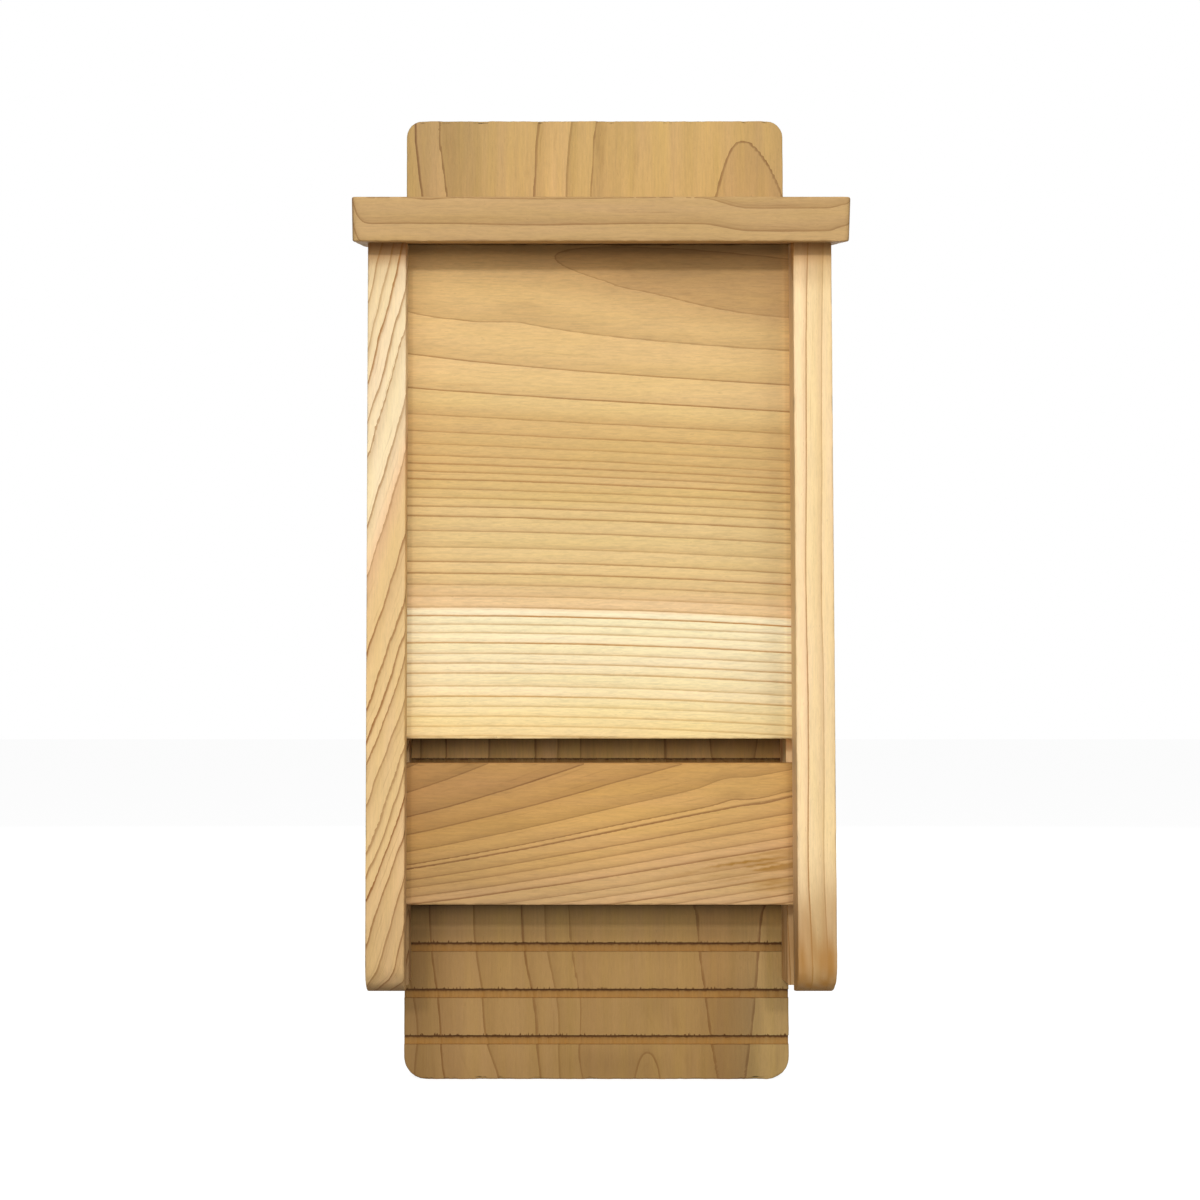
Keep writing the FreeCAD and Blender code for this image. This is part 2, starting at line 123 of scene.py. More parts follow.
def graded(low: float, high: float, step: float, marks: tuple[float, ...] = ()) -> Array:
    """Gives rising numbers from low to high, at most a step apart, which pass through each mark.

    Args:
        low: the first number.
        high: the last number.
        step: the largest gap between neighbours.
        marks: numbers that have to be among them.

    Returns:
        The numbers.
    """
    stops = np.unique(np.array([low, high, *[mark for mark in marks if low < mark < high]]))
    parts = []
    for start, end in zip(stops[:-1], stops[1:]):
        count = max(2, math.ceil((end - start) / step) + 1)
        parts.append(np.linspace(start, end, count)[:-1])
    return np.concatenate([*parts, [high]])


class Grain(Enum):
    """The way that a board's fibres run."""

    LEVEL = (1, 0, 0)
    UPRIGHT = (0, 0, 1)


class Axis(IntEnum):
    """The axes of the object's frame: to the right, into the wall and up."""

    X = 0
    Y = 1
    Z = 2


X, Y, Z = Axis


@dataclass(frozen=True)
class Slope:
    """A smooth step along an axis, from 0 at its start to 1 at its end."""

    axis: Axis
    start: float
    end: float

    def at(self, points: Array) -> Array:
        """The step's height at each point."""
        return smooth(points[:, self.axis], self.start, self.end)


@dataclass(frozen=True)
class Bell:
    """A bell curve along an axis, one high at its middle."""

    axis: Axis
    middle: float
    width: float

    def at(self, points: Array) -> Array:
        """The bell's height at each point."""
        return bump(points[:, self.axis], self.middle, self.width)


class Patch:
    """A part of a board where a value differs by an amount times all its slopes and bells."""

    def __init__(self, amount: float, *limits: Slope | Bell) -> None:
        """Keeps the amount and what bounds it."""
        self.amount = amount
        self.limits = limits

    def at(self, points: Array) -> Array:
        """Works out the difference that the patch makes.

        Args:
            points: places, one row for each.

        Returns:
            The difference at each place.
        """
        value = np.full(len(points), float(self.amount))
        for limit in self.limits:
            value = value * limit.at(points)
        return value


Patches = tuple[Patch, ...]


def total(patches: Patches, points: Array) -> Array:
    """The sum of the patches at each point."""
    return sum((patch.at(points) for patch in patches), np.zeros(len(points)))


class Socket:
    """A node's output whose operators add Math nodes."""

    def __init__(self, paint: "Paint", output: bpy.types.NodeSocket) -> None:
        """Wraps an output of a node in that material."""
        self.paint = paint
        self.output = output

    def math(self, operation: str, *others: Any) -> "Socket":
        """Adds a Math node of that operation, fed with this socket and the others in order."""
        sockets = dict(enumerate((self, *others)))
        return self.paint.node("ShaderNodeMath", {"operation": operation}, sockets)["Value"]

    def __add__(self, other: Any) -> "Socket":
        """The sum."""
        return self.math("ADD", other)

    def __sub__(self, other: Any) -> "Socket":
        """The difference."""
        return self.math("SUBTRACT", other)

    def __rsub__(self, other: float) -> "Socket":
        """The difference from a number."""
        return self.math("MULTIPLY_ADD", -1.0, other)

    def __mul__(self, other: Any) -> "Socket":
        """The product."""
        return self.math("MULTIPLY", other)

    def __truediv__(self, other: Any) -> "Socket":
        """The quotient."""
        return self.math("DIVIDE", other)

    __radd__ = __add__
    __rmul__ = __mul__

    def step(self, low: float, high: float) -> "Socket":
        """Adds a smooth step.

        Args:
            low: where it is 0.
            high: where it is 1; below low where the step falls.

        Returns:
            The step.
        """
        ends = (0.0, 1.0) if low < high else (1.0, 0.0)
        sockets = {"Value": self, "From Min": min(low, high), "From Max": max(low, high),
                   "To Min": ends[0], "To Max": ends[1]}
        return self.paint.node("ShaderNodeMapRange", {"interpolation_type": "SMOOTHSTEP"}, sockets)["Result"]


class Paint:
    """The node tree of one material or world and the nodes that are added to it."""

    def __init__(self, owner: bpy.types.Material | bpy.types.World) -> None:
        """Empties the owner's node tree.

        Args:
            owner: the material or world.
        """
        owner.use_nodes = True
        self.owner = owner
        self.tree = owner.node_tree
        self.tree.nodes.clear()

    def node(self, kind: str, settings: dict[str, Any] | None = None,
             sockets: dict[str | int, Any] | None = None) -> dict[str, Socket]:
        """Adds a node.

        Args:
            kind: the node's type.
            settings: its settings, set first; "stops" holds a ramp's places and colours.
            sockets: the value or link of each of its input sockets, by name or number.

        Returns:
            The node's outputs by name.
        """
        made = self.tree.nodes.new(kind)
        for name, value in (settings or {}).items():
            if name == "stops":
                self.fill_ramp(made.color_ramp, value)
            else:
                setattr(made, name, value)
        for name, value in (sockets or {}).items():
            if isinstance(value, Socket):
                self.tree.links.new(value.output, made.inputs[name])
            else:
                made.inputs[name].default_value = value
        return {output.name: Socket(self, output) for output in made.outputs if output.enabled}

    @staticmethod
    def fill_ramp(ramp: bpy.types.ColorRamp, stops: Stops) -> None:
        """Gives a ramp its stops.

        Args:
            ramp: the ramp.
            stops: each stop's place from 0 to 1 and its screen colour.
        """
        while len(ramp.elements) < len(stops):
            ramp.elements.new(1.0)
        for element, (place, colour) in zip(ramp.elements, stops):
            element.position = place
            element.color = linear(colour)

    def position(self) -> Socket:
        """The place on the object in millimetres."""
        return self.times(self.node("ShaderNodeTexCoord")["Object"], (1 / MM, 1 / MM, 1 / MM))

    def attribute(self, name: str) -> Socket:
        """The value that the mesh keeps under that name."""
        return self.node("ShaderNodeAttribute", {"attribute_name": name})["Fac"]

    def noise(self, vector: Socket, detail: float = 2.0, roughness: float = 0.5) -> Socket:
        """Noise around nought, within about plus or minus one half."""
        sockets = {"Vector": vector, "Scale": 1.0, "Detail": detail, "Roughness": roughness}
        return self.node("ShaderNodeTexNoise", None, sockets)["Fac"] - 0.5

    def blend(self, share: Any, first: Any, second: Any) -> Socket:
        """Mixes two colours by a share."""
        settings = {"data_type": "RGBA", "clamp_factor": True}
        return self.node("ShaderNodeMix", settings, {0: share, 6: first, 7: second})["Result"]

    def vector(self, operation: str, first: Any, second: Any, output: str = "Vector") -> Socket:
        """The outcome of a Vector Math node."""
        return self.node("ShaderNodeVectorMath", {"operation": operation}, {0: first, 1: second})[output]

    def times(self, colour: Socket, factors: Any) -> Socket:
        """The colour with each of its parts multiplied by that of the factors."""
        return self.vector("MULTIPLY", colour, factors)

    def dim(self, colour: Socket, factor: Socket) -> Socket:
        """The colour made lighter or darker by a factor about one."""
        sockets = {0: colour, "Scale": factor}
        return self.node("ShaderNodeVectorMath", {"operation": "SCALE"}, sockets)["Vector"]

    def relief(self, height: Socket, strength: float, distance: float) -> Socket:
        """The normal of a surface with that relief, whose distance is in metres."""
        sockets = {"Strength": strength, "Distance": distance, "Height": height}
        return self.node("ShaderNodeBump", None, sockets)["Normal"]

    def finish(self, sockets: dict[str, Any]) -> bpy.types.Material:
        """Adds the surface shader and its output.

        Args:
            sockets: the values and links of the shader's sockets.

        Returns:
            The material.
        """
        shader = self.node("ShaderNodeBsdfPrincipled", None, sockets)["BSDF"]
        self.node("ShaderNodeOutputMaterial", None, {"Surface": shader})
        return self.owner


@dataclass(frozen=True)
class Growth:
    """The growth ring at a place: the ring count, how far through the ring, its slope and its own chance."""

    rings: Socket
    part: Socket
    steep: Socket
    chance: Socket


@dataclass(frozen=True)
class Timber:
    """Bare softwood whose growth rings come from the mesh's ring count.

    A ring starts pale at its inner side, darkens softly outwards and ends in a thin dark line.
    Fainter lines run beside it, and the tint swings between golden and rosy from ring to ring.
    A pair of lengths is one along the fibres and one across them.
    """

    name: str
    grain: Grain
    early: Stops
    late: Stops
    line_width: float = 0.8
    line_share: float = 0.9
    soft_share: float = 0.3
    warp: float = 0.5
    warp_reach: tuple[float, float] = (26.0, 6.0)
    ragged: float = 0.25
    veil: float = 0.2
    streak: float = 0.3
    fleck: float = 0.26
    blotch: float = 0.16
    cloud_reach: tuple[float, float] = (90.0, 22.0)
    fade: float = 0.8
    band: float = 0.05
    tint: float = 0.5
    pore: float = 0.6
    golden: RGB = (0.99, 1.0, 0.86)
    rosy: RGB = (1.01, 0.985, 1.13)
    stain: RGB = (126, 96, 48)
    seed: float = 0.0

    FUZZ_REACH = (3.0, 0.6)
    FIBRE_REACH = (24.0, 1.1)
    FLECK_REACH = (5.0, 0.75)
    SWING_REACH = (70.0, 7.0)
    CLOUD_LAYERS = (3.0, 0.6)
    FIBRE_LAYERS = (4.0, 0.68)
    FLECK_LAYERS = (2.0, 0.6)
    VEIL_LAYERS = (3.0, 0.6)
    LINE_LIMIT = 0.4
    LINE_FALL = (1.35, 0.35)
    LINE_FORCE = (0.6, 0.5)
    SOFT_RISE = (0.15, 1.0)
    VEIL_LINES = 6.0
    VEIL_LENGTH = 60.0
    VEIL_RISE = (0.06, 0.26)
    PORE_RISE = (0.13, 0.26)
    PORE_SHADE = 0.3
    HUE_SWING = 1.8
    HUE_CHANCE = 0.6
    END_RISE = (0.55, 0.9)
    END_SHARE = 0.42
    END_BROWN = (120, 78, 40)
    FIBRE_HEIGHT = 0.6
    FLECK_HEIGHT = 0.25
    PORE_DEPTH = 0.5
    LATE_HEIGHT = 0.25
    RELIEF = (0.5, 0.00022)
    FIBRE_ROUGHNESS = 0.16
    END_ROUGHNESS = 0.12
    ROUGHNESS = 0.66
    GLOSS = 0.28

    def noise(self, paint: Paint, place: Socket, reach: tuple[float, float], detail: float = 2.0,
              roughness: float = 0.5) -> Socket:
        """Adds noise that is drawn out along the fibres.

        Args:
            paint: the material's tree.
            place: the place on the board in millimetres.
            reach: how long its features are along the fibres and across them.
            detail: how many finer layers it has.
            roughness: how strong these are.

        Returns:
            The noise around nought.
        """
        along, across = reach
        factors = tuple(1 / along if part else 1 / across for part in self.grain.value)
        return paint.noise(paint.times(place, factors), detail, roughness)

    def along(self, paint: Paint, vector: Socket) -> Socket:
        """A vector's part along the fibres."""
        return paint.vector("DOT_PRODUCT", vector, tuple(float(part) for part in self.grain.value), "Value")

    def ramp(self, paint: Paint, rings: Socket, stops: Stops) -> Socket:
        """Adds a colour that changes with the ring count.

        Args:
            paint: the material's tree.
            rings: the ring count.
            stops: ring counts and their colours.

        Returns:
            The colour.
        """
        low, high = stops[0][0], stops[-1][0]
        settings = {"stops": tuple(((at - low) / (high - low), colour) for at, colour in stops)}
        return paint.node("ShaderNodeValToRGB", settings, {"Fac": (rings - low) / (high - low)})["Color"]

    def marked(self, paint: Paint, place: Socket, colour: Socket) -> Socket:
        """The colour with the marks that the tools left on this board; a plain board has none."""
        return colour

    def read_rings(self, paint: Paint, place: Socket) -> Growth:
        """Reads the mesh's ring count and lets it wander a little.

        Args:
            paint: the material's tree.
            place: the place on the board in millimetres.

        Returns:
            The growth ring at the place.
        """
        steep = paint.attribute("steep")
        wander = self.noise(paint, place, self.warp_reach) * self.warp
        fuzz = self.noise(paint, place, self.FUZZ_REACH) * self.ragged
        rings = paint.attribute("rings") + (wander + fuzz) * steep
        part = rings.math("FRACT")
        settings = {"noise_dimensions": "1D"}
        chance = paint.node("ShaderNodeTexWhiteNoise", settings, {"W": rings - part + self.seed})["Value"]
        return Growth(rings, part, steep, chance)

    def late_share(self, paint: Paint, place: Socket, growth: Growth, cloud: Socket) -> Socket:
        """Works out how much of the colour is late wood.

        The line is full at the ring's outer edge and fades over its own width, the soft part rises
        through the ring, and a veil of fainter lines is added to the larger of the two.

        Args:
            paint: the material's tree.
            place: the place on the board in millimetres.
            growth: the growth ring there.
            cloud: wide noise, which the line's strength follows.

        Returns:
            The share, from 0 upwards.
        """
        from_edge = (1 - growth.part) / growth.steep
        width = (growth.steep.math("POWER", -1.0) * self.LINE_LIMIT).math("MINIMUM", self.line_width)
        least, more = self.LINE_FORCE
        line = (from_edge / width).step(*self.LINE_FALL) * (growth.chance * more + least)
        line = line * (cloud * self.fade + 1)
        soft = growth.part.step(*self.SOFT_RISE)
        late = (line * self.line_share).math("MAXIMUM", soft * soft * self.soft_share)
        sockets = {"X": growth.rings * self.VEIL_LINES, "Y": self.along(paint, place) / self.VEIL_LENGTH,
                   "Z": self.seed}
        beside = paint.node("ShaderNodeCombineXYZ", None, sockets)["Vector"]
        return late + paint.noise(beside, *self.VEIL_LAYERS).step(*self.VEIL_RISE) * self.veil

    def make(self) -> bpy.types.Material:
        """Builds the material.

        Returns:
            The material, with rings, fibres, pores, blotches and end grain, and the mesh's tone and stain,
            which hold painted light and shade as well as the wood's own colour.
        """
        paint = Paint(bpy.data.materials.new(self.name))
        base = paint.position()
        place = paint.vector("ADD", base, (self.seed, self.seed, self.seed))
        growth = self.read_rings(paint, place)
        cloud = self.noise(paint, place, self.cloud_reach, *self.CLOUD_LAYERS)
        fibre = self.noise(paint, place, self.FIBRE_REACH, *self.FIBRE_LAYERS)
        flecks = self.noise(paint, place, self.FLECK_REACH, *self.FLECK_LAYERS)
        swing = self.noise(paint, place, self.SWING_REACH)
        pores = flecks.step(*self.PORE_RISE) * self.pore
        late = self.late_share(paint, place, growth, cloud)
        colour = paint.blend(late, self.ramp(paint, growth.rings, self.early),
                             self.ramp(paint, growth.rings, self.late))
        chance = growth.chance - 0.5
        level = fibre * self.streak + flecks * self.fleck + cloud * self.blotch + chance * self.band + 1
        # The mesh's tone holds painted light and shade as well as lighter and darker wood.
        level = level * (1 - pores * self.PORE_SHADE) * paint.attribute("tone")
        hue = paint.blend(swing * self.HUE_SWING + chance * self.HUE_CHANCE + 0.5, (*self.golden, 1.0),
                          (*self.rosy, 1.0))
        colour = paint.dim(paint.blend(self.tint, colour, paint.times(colour, hue)), level)
        normal = paint.node("ShaderNodeNewGeometry")["Normal"]
        end = self.along(paint, normal).math("ABSOLUTE").step(*self.END_RISE)
        colour = paint.blend(end * self.END_SHARE, colour, linear(self.END_BROWN))
        # The mesh's stain holds real stains and, on the sides, brown tints of painted shade.
        colour = paint.blend(paint.attribute("stain"), colour, linear(self.stain))
        height = fibre * self.FIBRE_HEIGHT + flecks * self.FLECK_HEIGHT
        height = height - pores * self.PORE_DEPTH + late * self.LATE_HEIGHT
        rough = fibre * self.FIBRE_ROUGHNESS + end * self.END_ROUGHNESS + self.ROUGHNESS
        return paint.finish({"Base Color": self.marked(paint, base, colour), "Roughness": rough,
                             "Normal": paint.relief(height, *self.RELIEF), "Specular IOR Level": self.GLOSS})


@dataclass(frozen=True)
class GroovedTimber(Timber):
    """The back board's timber: its grooves have a brown floor and a burned, splintered upper edge with a dark
    band of burn and painted shade under it.
    """

    first: float = 20.1
    pitch: float = 23.7
    half: float = 2.3
    top: float = 430.0
    face: float = -19.0
    floor: RGB = (160, 113, 48)
    # The colour of the burned edges and of the painted shade under them.
    burn_and_shade: RGB = (90, 52, 4)

    SPLINTER_TURNS = (0.9, 0.0, 0.06)
    SPLINTER_LAYERS = (3.0, 0.7)
    EDGE_TURNS = (0.35, 0.0, 0.09)
    EDGE_LAYERS = (3.0, 0.6)
    SOFT = 0.1
    FLOOR_FROM = (0.2, 0.8)
    FLOOR_SHARE = (0.9, 0.7)
    FLOOR_SHADE = (0.5, 1.05)
    MARKED_TO = (2.4, 1.9)
    TOP_RUN = 2.0
    # A soft band of burn and painted shade under each groove's upper edge: its span and its share.
    SOFT_BURN_AND_SHADE = (-3.4, -0.8)
    SOFT_BURN_AND_SHADE_SHARE = 0.3
    CLEAN_FROM = (120.0, 140.0)
    CHIP = (8.0, 6.0)
    CHIP_FROM = 0.02
    CHIP_END = (0.25, -0.1)
    # The dark band of burn and painted shade under the upper edge: its height and how much less it reaches
    # higher up, its wander, its fade and its share.
    BURN_AND_SHADE_BAND = (1.25, 0.75)
    BURN_AND_SHADE_WANDER = 1.8
    BURN_AND_SHADE_FADE = (-0.45, 0.45)
    BURN_AND_SHADE_SHARE = 0.94

    def marked(self, paint: Paint, place: Socket, colour: Socket) -> Socket:
        """Adds the grooves' floors, a soft band of burn and painted shade under their upper edges, and the
        burned edges.

        Chips stand up from an edge, and the dark band of burn and painted shade below it wanders. Both are
        smaller higher up.

        Args:
            paint: the material's tree.
            place: the place on the board in millimetres.
            colour: the plain wood.

        Returns:
            The colour.
        """
        at = paint.node("ShaderNodeSeparateXYZ", None, {"Vector": place})
        front = at["Y"].step(*(self.face + deep for deep in self.MARKED_TO))
        front = front * at["Z"].step(self.top, self.top - self.TOP_RUN)
        start = self.first - self.pitch / 2
        near = (at["Z"] - start).math("FLOORED_MODULO", self.pitch) - self.pitch / 2
        above = near - self.half
        splinter = paint.noise(paint.times(place, self.SPLINTER_TURNS), *self.SPLINTER_LAYERS)
        edge = paint.noise(paint.times(place, self.EDGE_TURNS), *self.EDGE_LAYERS)
        burn_and_shade = linear(self.burn_and_shade)
        inside = near.math("ABSOLUTE").step(self.half + self.SOFT, self.half - self.SOFT)
        inside = inside * at["Y"].step(*(self.face + deep for deep in self.FLOOR_FROM))
        more, share = self.FLOOR_SHARE
        floor = paint.blend(edge * more + share, colour, linear(self.floor))
        more, shade = self.FLOOR_SHADE
        colour = paint.blend(inside * front, colour, paint.dim(floor, splinter * more + shade))
        # Painted shade with some burn, softly darkening each groove just under its upper edge.
        soft_burn_and_shade = above.step(*self.SOFT_BURN_AND_SHADE) * above.step(self.SOFT, -self.SOFT)
        colour = paint.blend(soft_burn_and_shade * front * self.SOFT_BURN_AND_SHADE_SHARE, colour, burn_and_shade)
        clean = at["Z"].step(*self.CLEAN_FROM)
        length, shorter = self.CHIP
        chip = (splinter - self.CHIP_FROM).math("MAXIMUM", 0.0) * (length - clean * shorter)
        tall = (above - chip).step(*self.CHIP_END)
        # The dark band of burn and painted shade below the chips.
        height, lower = self.BURN_AND_SHADE_BAND
        deep = (above + edge * self.BURN_AND_SHADE_WANDER + height - clean * lower).step(*self.BURN_AND_SHADE_FADE)
        return paint.blend(tall * deep * front * self.BURN_AND_SHADE_SHARE, colour, burn_and_shade)


@dataclass(frozen=True)
class PlatedSteel:
    """Zinc-plated steel of the screws, with fine scratches and a dull bloom."""

    name: str = "screw_steel"
    colour: RGB = (172, 170, 162)
    bloom: RGB = (132, 128, 118)

    CLOUD_TURNS = (0.7, 0.7, 0.7)
    CLOUD_LAYERS = (3.0, 0.6)
    SCRATCH_TURNS = (9.0, 1.1, 2.3)
    SCRATCH_LAYERS = (2.0, 0.6)
    BLOOM_RISE = (-0.12, 0.18)
    BLOOM_ROUGHNESS = 0.22
    SCRATCH_ROUGHNESS = 0.1
    ROUGHNESS = 0.3
    RELIEF = (0.35, 0.00005)

    def make(self) -> bpy.types.Material:
        """Builds the material.

        Returns:
            The material, with bloom, scratches and pits.
        """
        paint = Paint(bpy.data.materials.new(self.name))
        place = paint.position()
        cloud = paint.noise(paint.times(place, self.CLOUD_TURNS), *self.CLOUD_LAYERS)
        scratch = paint.noise(paint.times(place, self.SCRATCH_TURNS), *self.SCRATCH_LAYERS)
        dull = cloud.step(*self.BLOOM_RISE)
        rough = dull * self.BLOOM_ROUGHNESS + scratch * self.SCRATCH_ROUGHNESS + self.ROUGHNESS
        return paint.finish({"Base Color": paint.blend(dull, linear(self.colour), linear(self.bloom)),
                             "Metallic": 1.0, "Roughness": rough,
                             "Normal": paint.relief(scratch + cloud, *self.RELIEF)})


def edge_path(columns: int, rows: int) -> Array:
    """Gives the numbers of a grid's outermost points, once round from its first corner.

    Args:
        columns: how many columns of points there are.
        rows: how many points are in a column.

    Returns:
        The numbers.
    """
    first = np.arange(columns) * rows
    last = (columns - 1) * rows + np.arange(1, rows)
    back = np.arange(columns - 2, -1, -1) * rows + rows - 1
    down = np.arange(rows - 2, 0, -1)
    return np.concatenate([first, last, back, down])


def grid_faces(columns: int, rows: int) -> Array:
    """Gives the four-sided faces of a grid of points numbered column by column.

    Args:
        columns: how many columns of points there are.
        rows: how many points are in a column.

    Returns:
        The numbers of each face's four points.
    """
    number = np.arange(columns * rows).reshape(columns, rows)
    corners = (number[:-1, :-1], number[1:, :-1], number[1:, 1:], number[:-1, 1:])
    return np.stack(corners, axis=-1).reshape(-1, 4)


def make_mesh(name: str, points: Array, faces: Array, values: dict[str, Array],
              crease: float = 32.0) -> bpy.types.Object:
    """Makes an object of four-sided faces that point outwards.

    Args:
        name: the object's name.
        points: its points in millimetres, one row for each.
        faces: the numbers of each face's four points.
        values: values kept at the points, by name.
        crease: the angle in degrees past which an edge is sharp.

    Returns:
        The object, linked to the scene.
    """
    a, b, c, d = (points[faces[:, k]] for k in range(4))
    volume = (np.cross(b - a, c - a) * a).sum() + (np.cross(c - a, d - a) * a).sum()
    if volume < 0:
        faces = faces[:, ::-1]
    mesh = bpy.data.meshes.new(name)
    mesh.vertices.add(len(points))
    mesh.vertices.foreach_set("co", (points * MM).astype(np.float32).ravel())
    mesh.loops.add(faces.size)
    mesh.loops.foreach_set("vertex_index", faces.astype(np.int32).ravel())
    mesh.polygons.add(len(faces))
    mesh.polygons.foreach_set("loop_start", np.arange(0, faces.size, 4, dtype=np.int32))
    mesh.update(calc_edges=True)
    mesh.validate()
    mesh.shade_smooth()
    mesh.set_sharp_from_angle(angle=math.radians(crease))
    for key, value in values.items():
        mesh.attributes.new(key, "FLOAT", "POINT").data.foreach_set("value", value.astype(np.float32))
    made = bpy.data.objects.new(name, mesh)
    bpy.context.scene.collection.objects.link(made)
    return made


def rounded(low: tuple[float, float], high: tuple[float, float], radii: tuple[float, float],
            shares: Array, rows: Array, inset: float) -> Grid:
    """Covers a rectangle with rounded corners by a grid.

    In each row the points are spread evenly from the left outline to the right one. Near an end
    the outline is a quarter circle, so the row is narrower by the radius less the circle's chord.

    Args:
        low: the rectangle's lower corner.
        high: its upper corner.
        radii: the corner radius at the lower end and at the upper end.
        shares: places across a row, from 0 to 1.
        rows: the rows' heights on the full outline.
        inset: how far the outline is moved inwards.

    Returns:
        The grid's two coordinates, a row of the array for each column of points.
    """
    near, far = radii
    knots = [low[1], low[1] + near, high[1] - far, high[1]]
    moved = [low[1] + inset, low[1] + near, high[1] - far, high[1] - inset]
    height = np.interp(rows, knots, moved)
    under = np.clip(low[1] + near - height, 0, near - inset)
    over = np.clip(height - (high[1] - far), 0, far - inset)
    cut = (near - inset) - np.sqrt((near - inset) ** 2 - under ** 2)
    cut = cut + (far - inset) - np.sqrt((far - inset) ** 2 - over ** 2)
    left, right = low[0] + inset + cut, high[0] - inset - cut
    across = left[None, :] + shares[:, None] * (right - left)[None, :]
    return across, np.broadcast_to(height, across.shape).copy()


def corner_rows(low: float, high: float, near: float, far: float) -> tuple[float, ...]:
    """Row heights that follow the quarter circles at both ends of an outline."""
    turn = 1 - np.cos(np.linspace(0, math.pi / 2, CORNER_POINTS))
    return tuple(low + near * turn) + tuple(high - far * turn)


def ring_count(radius: Array, growth: Pairs) -> Array:
    """Works out the ring count at a distance from the pith.

    It is read off a line through the pairs, which goes on at its last slope beyond the last pair
    and at its first slope before the first one.

    Args:
        radius: the distances.
        growth: pairs of a distance and a ring count.

    Returns:
        The ring counts.
    """
    at, count = np.array(growth, float).T
    inside = np.interp(radius, at, count)
    slope_in = (count[1] - count[0]) / (at[1] - at[0])
    slope_out = (count[-1] - count[-2]) / (at[-1] - at[-2])
    return inside + np.minimum(radius - at[0], 0) * slope_in + np.maximum(radius - at[-1], 0) * slope_out


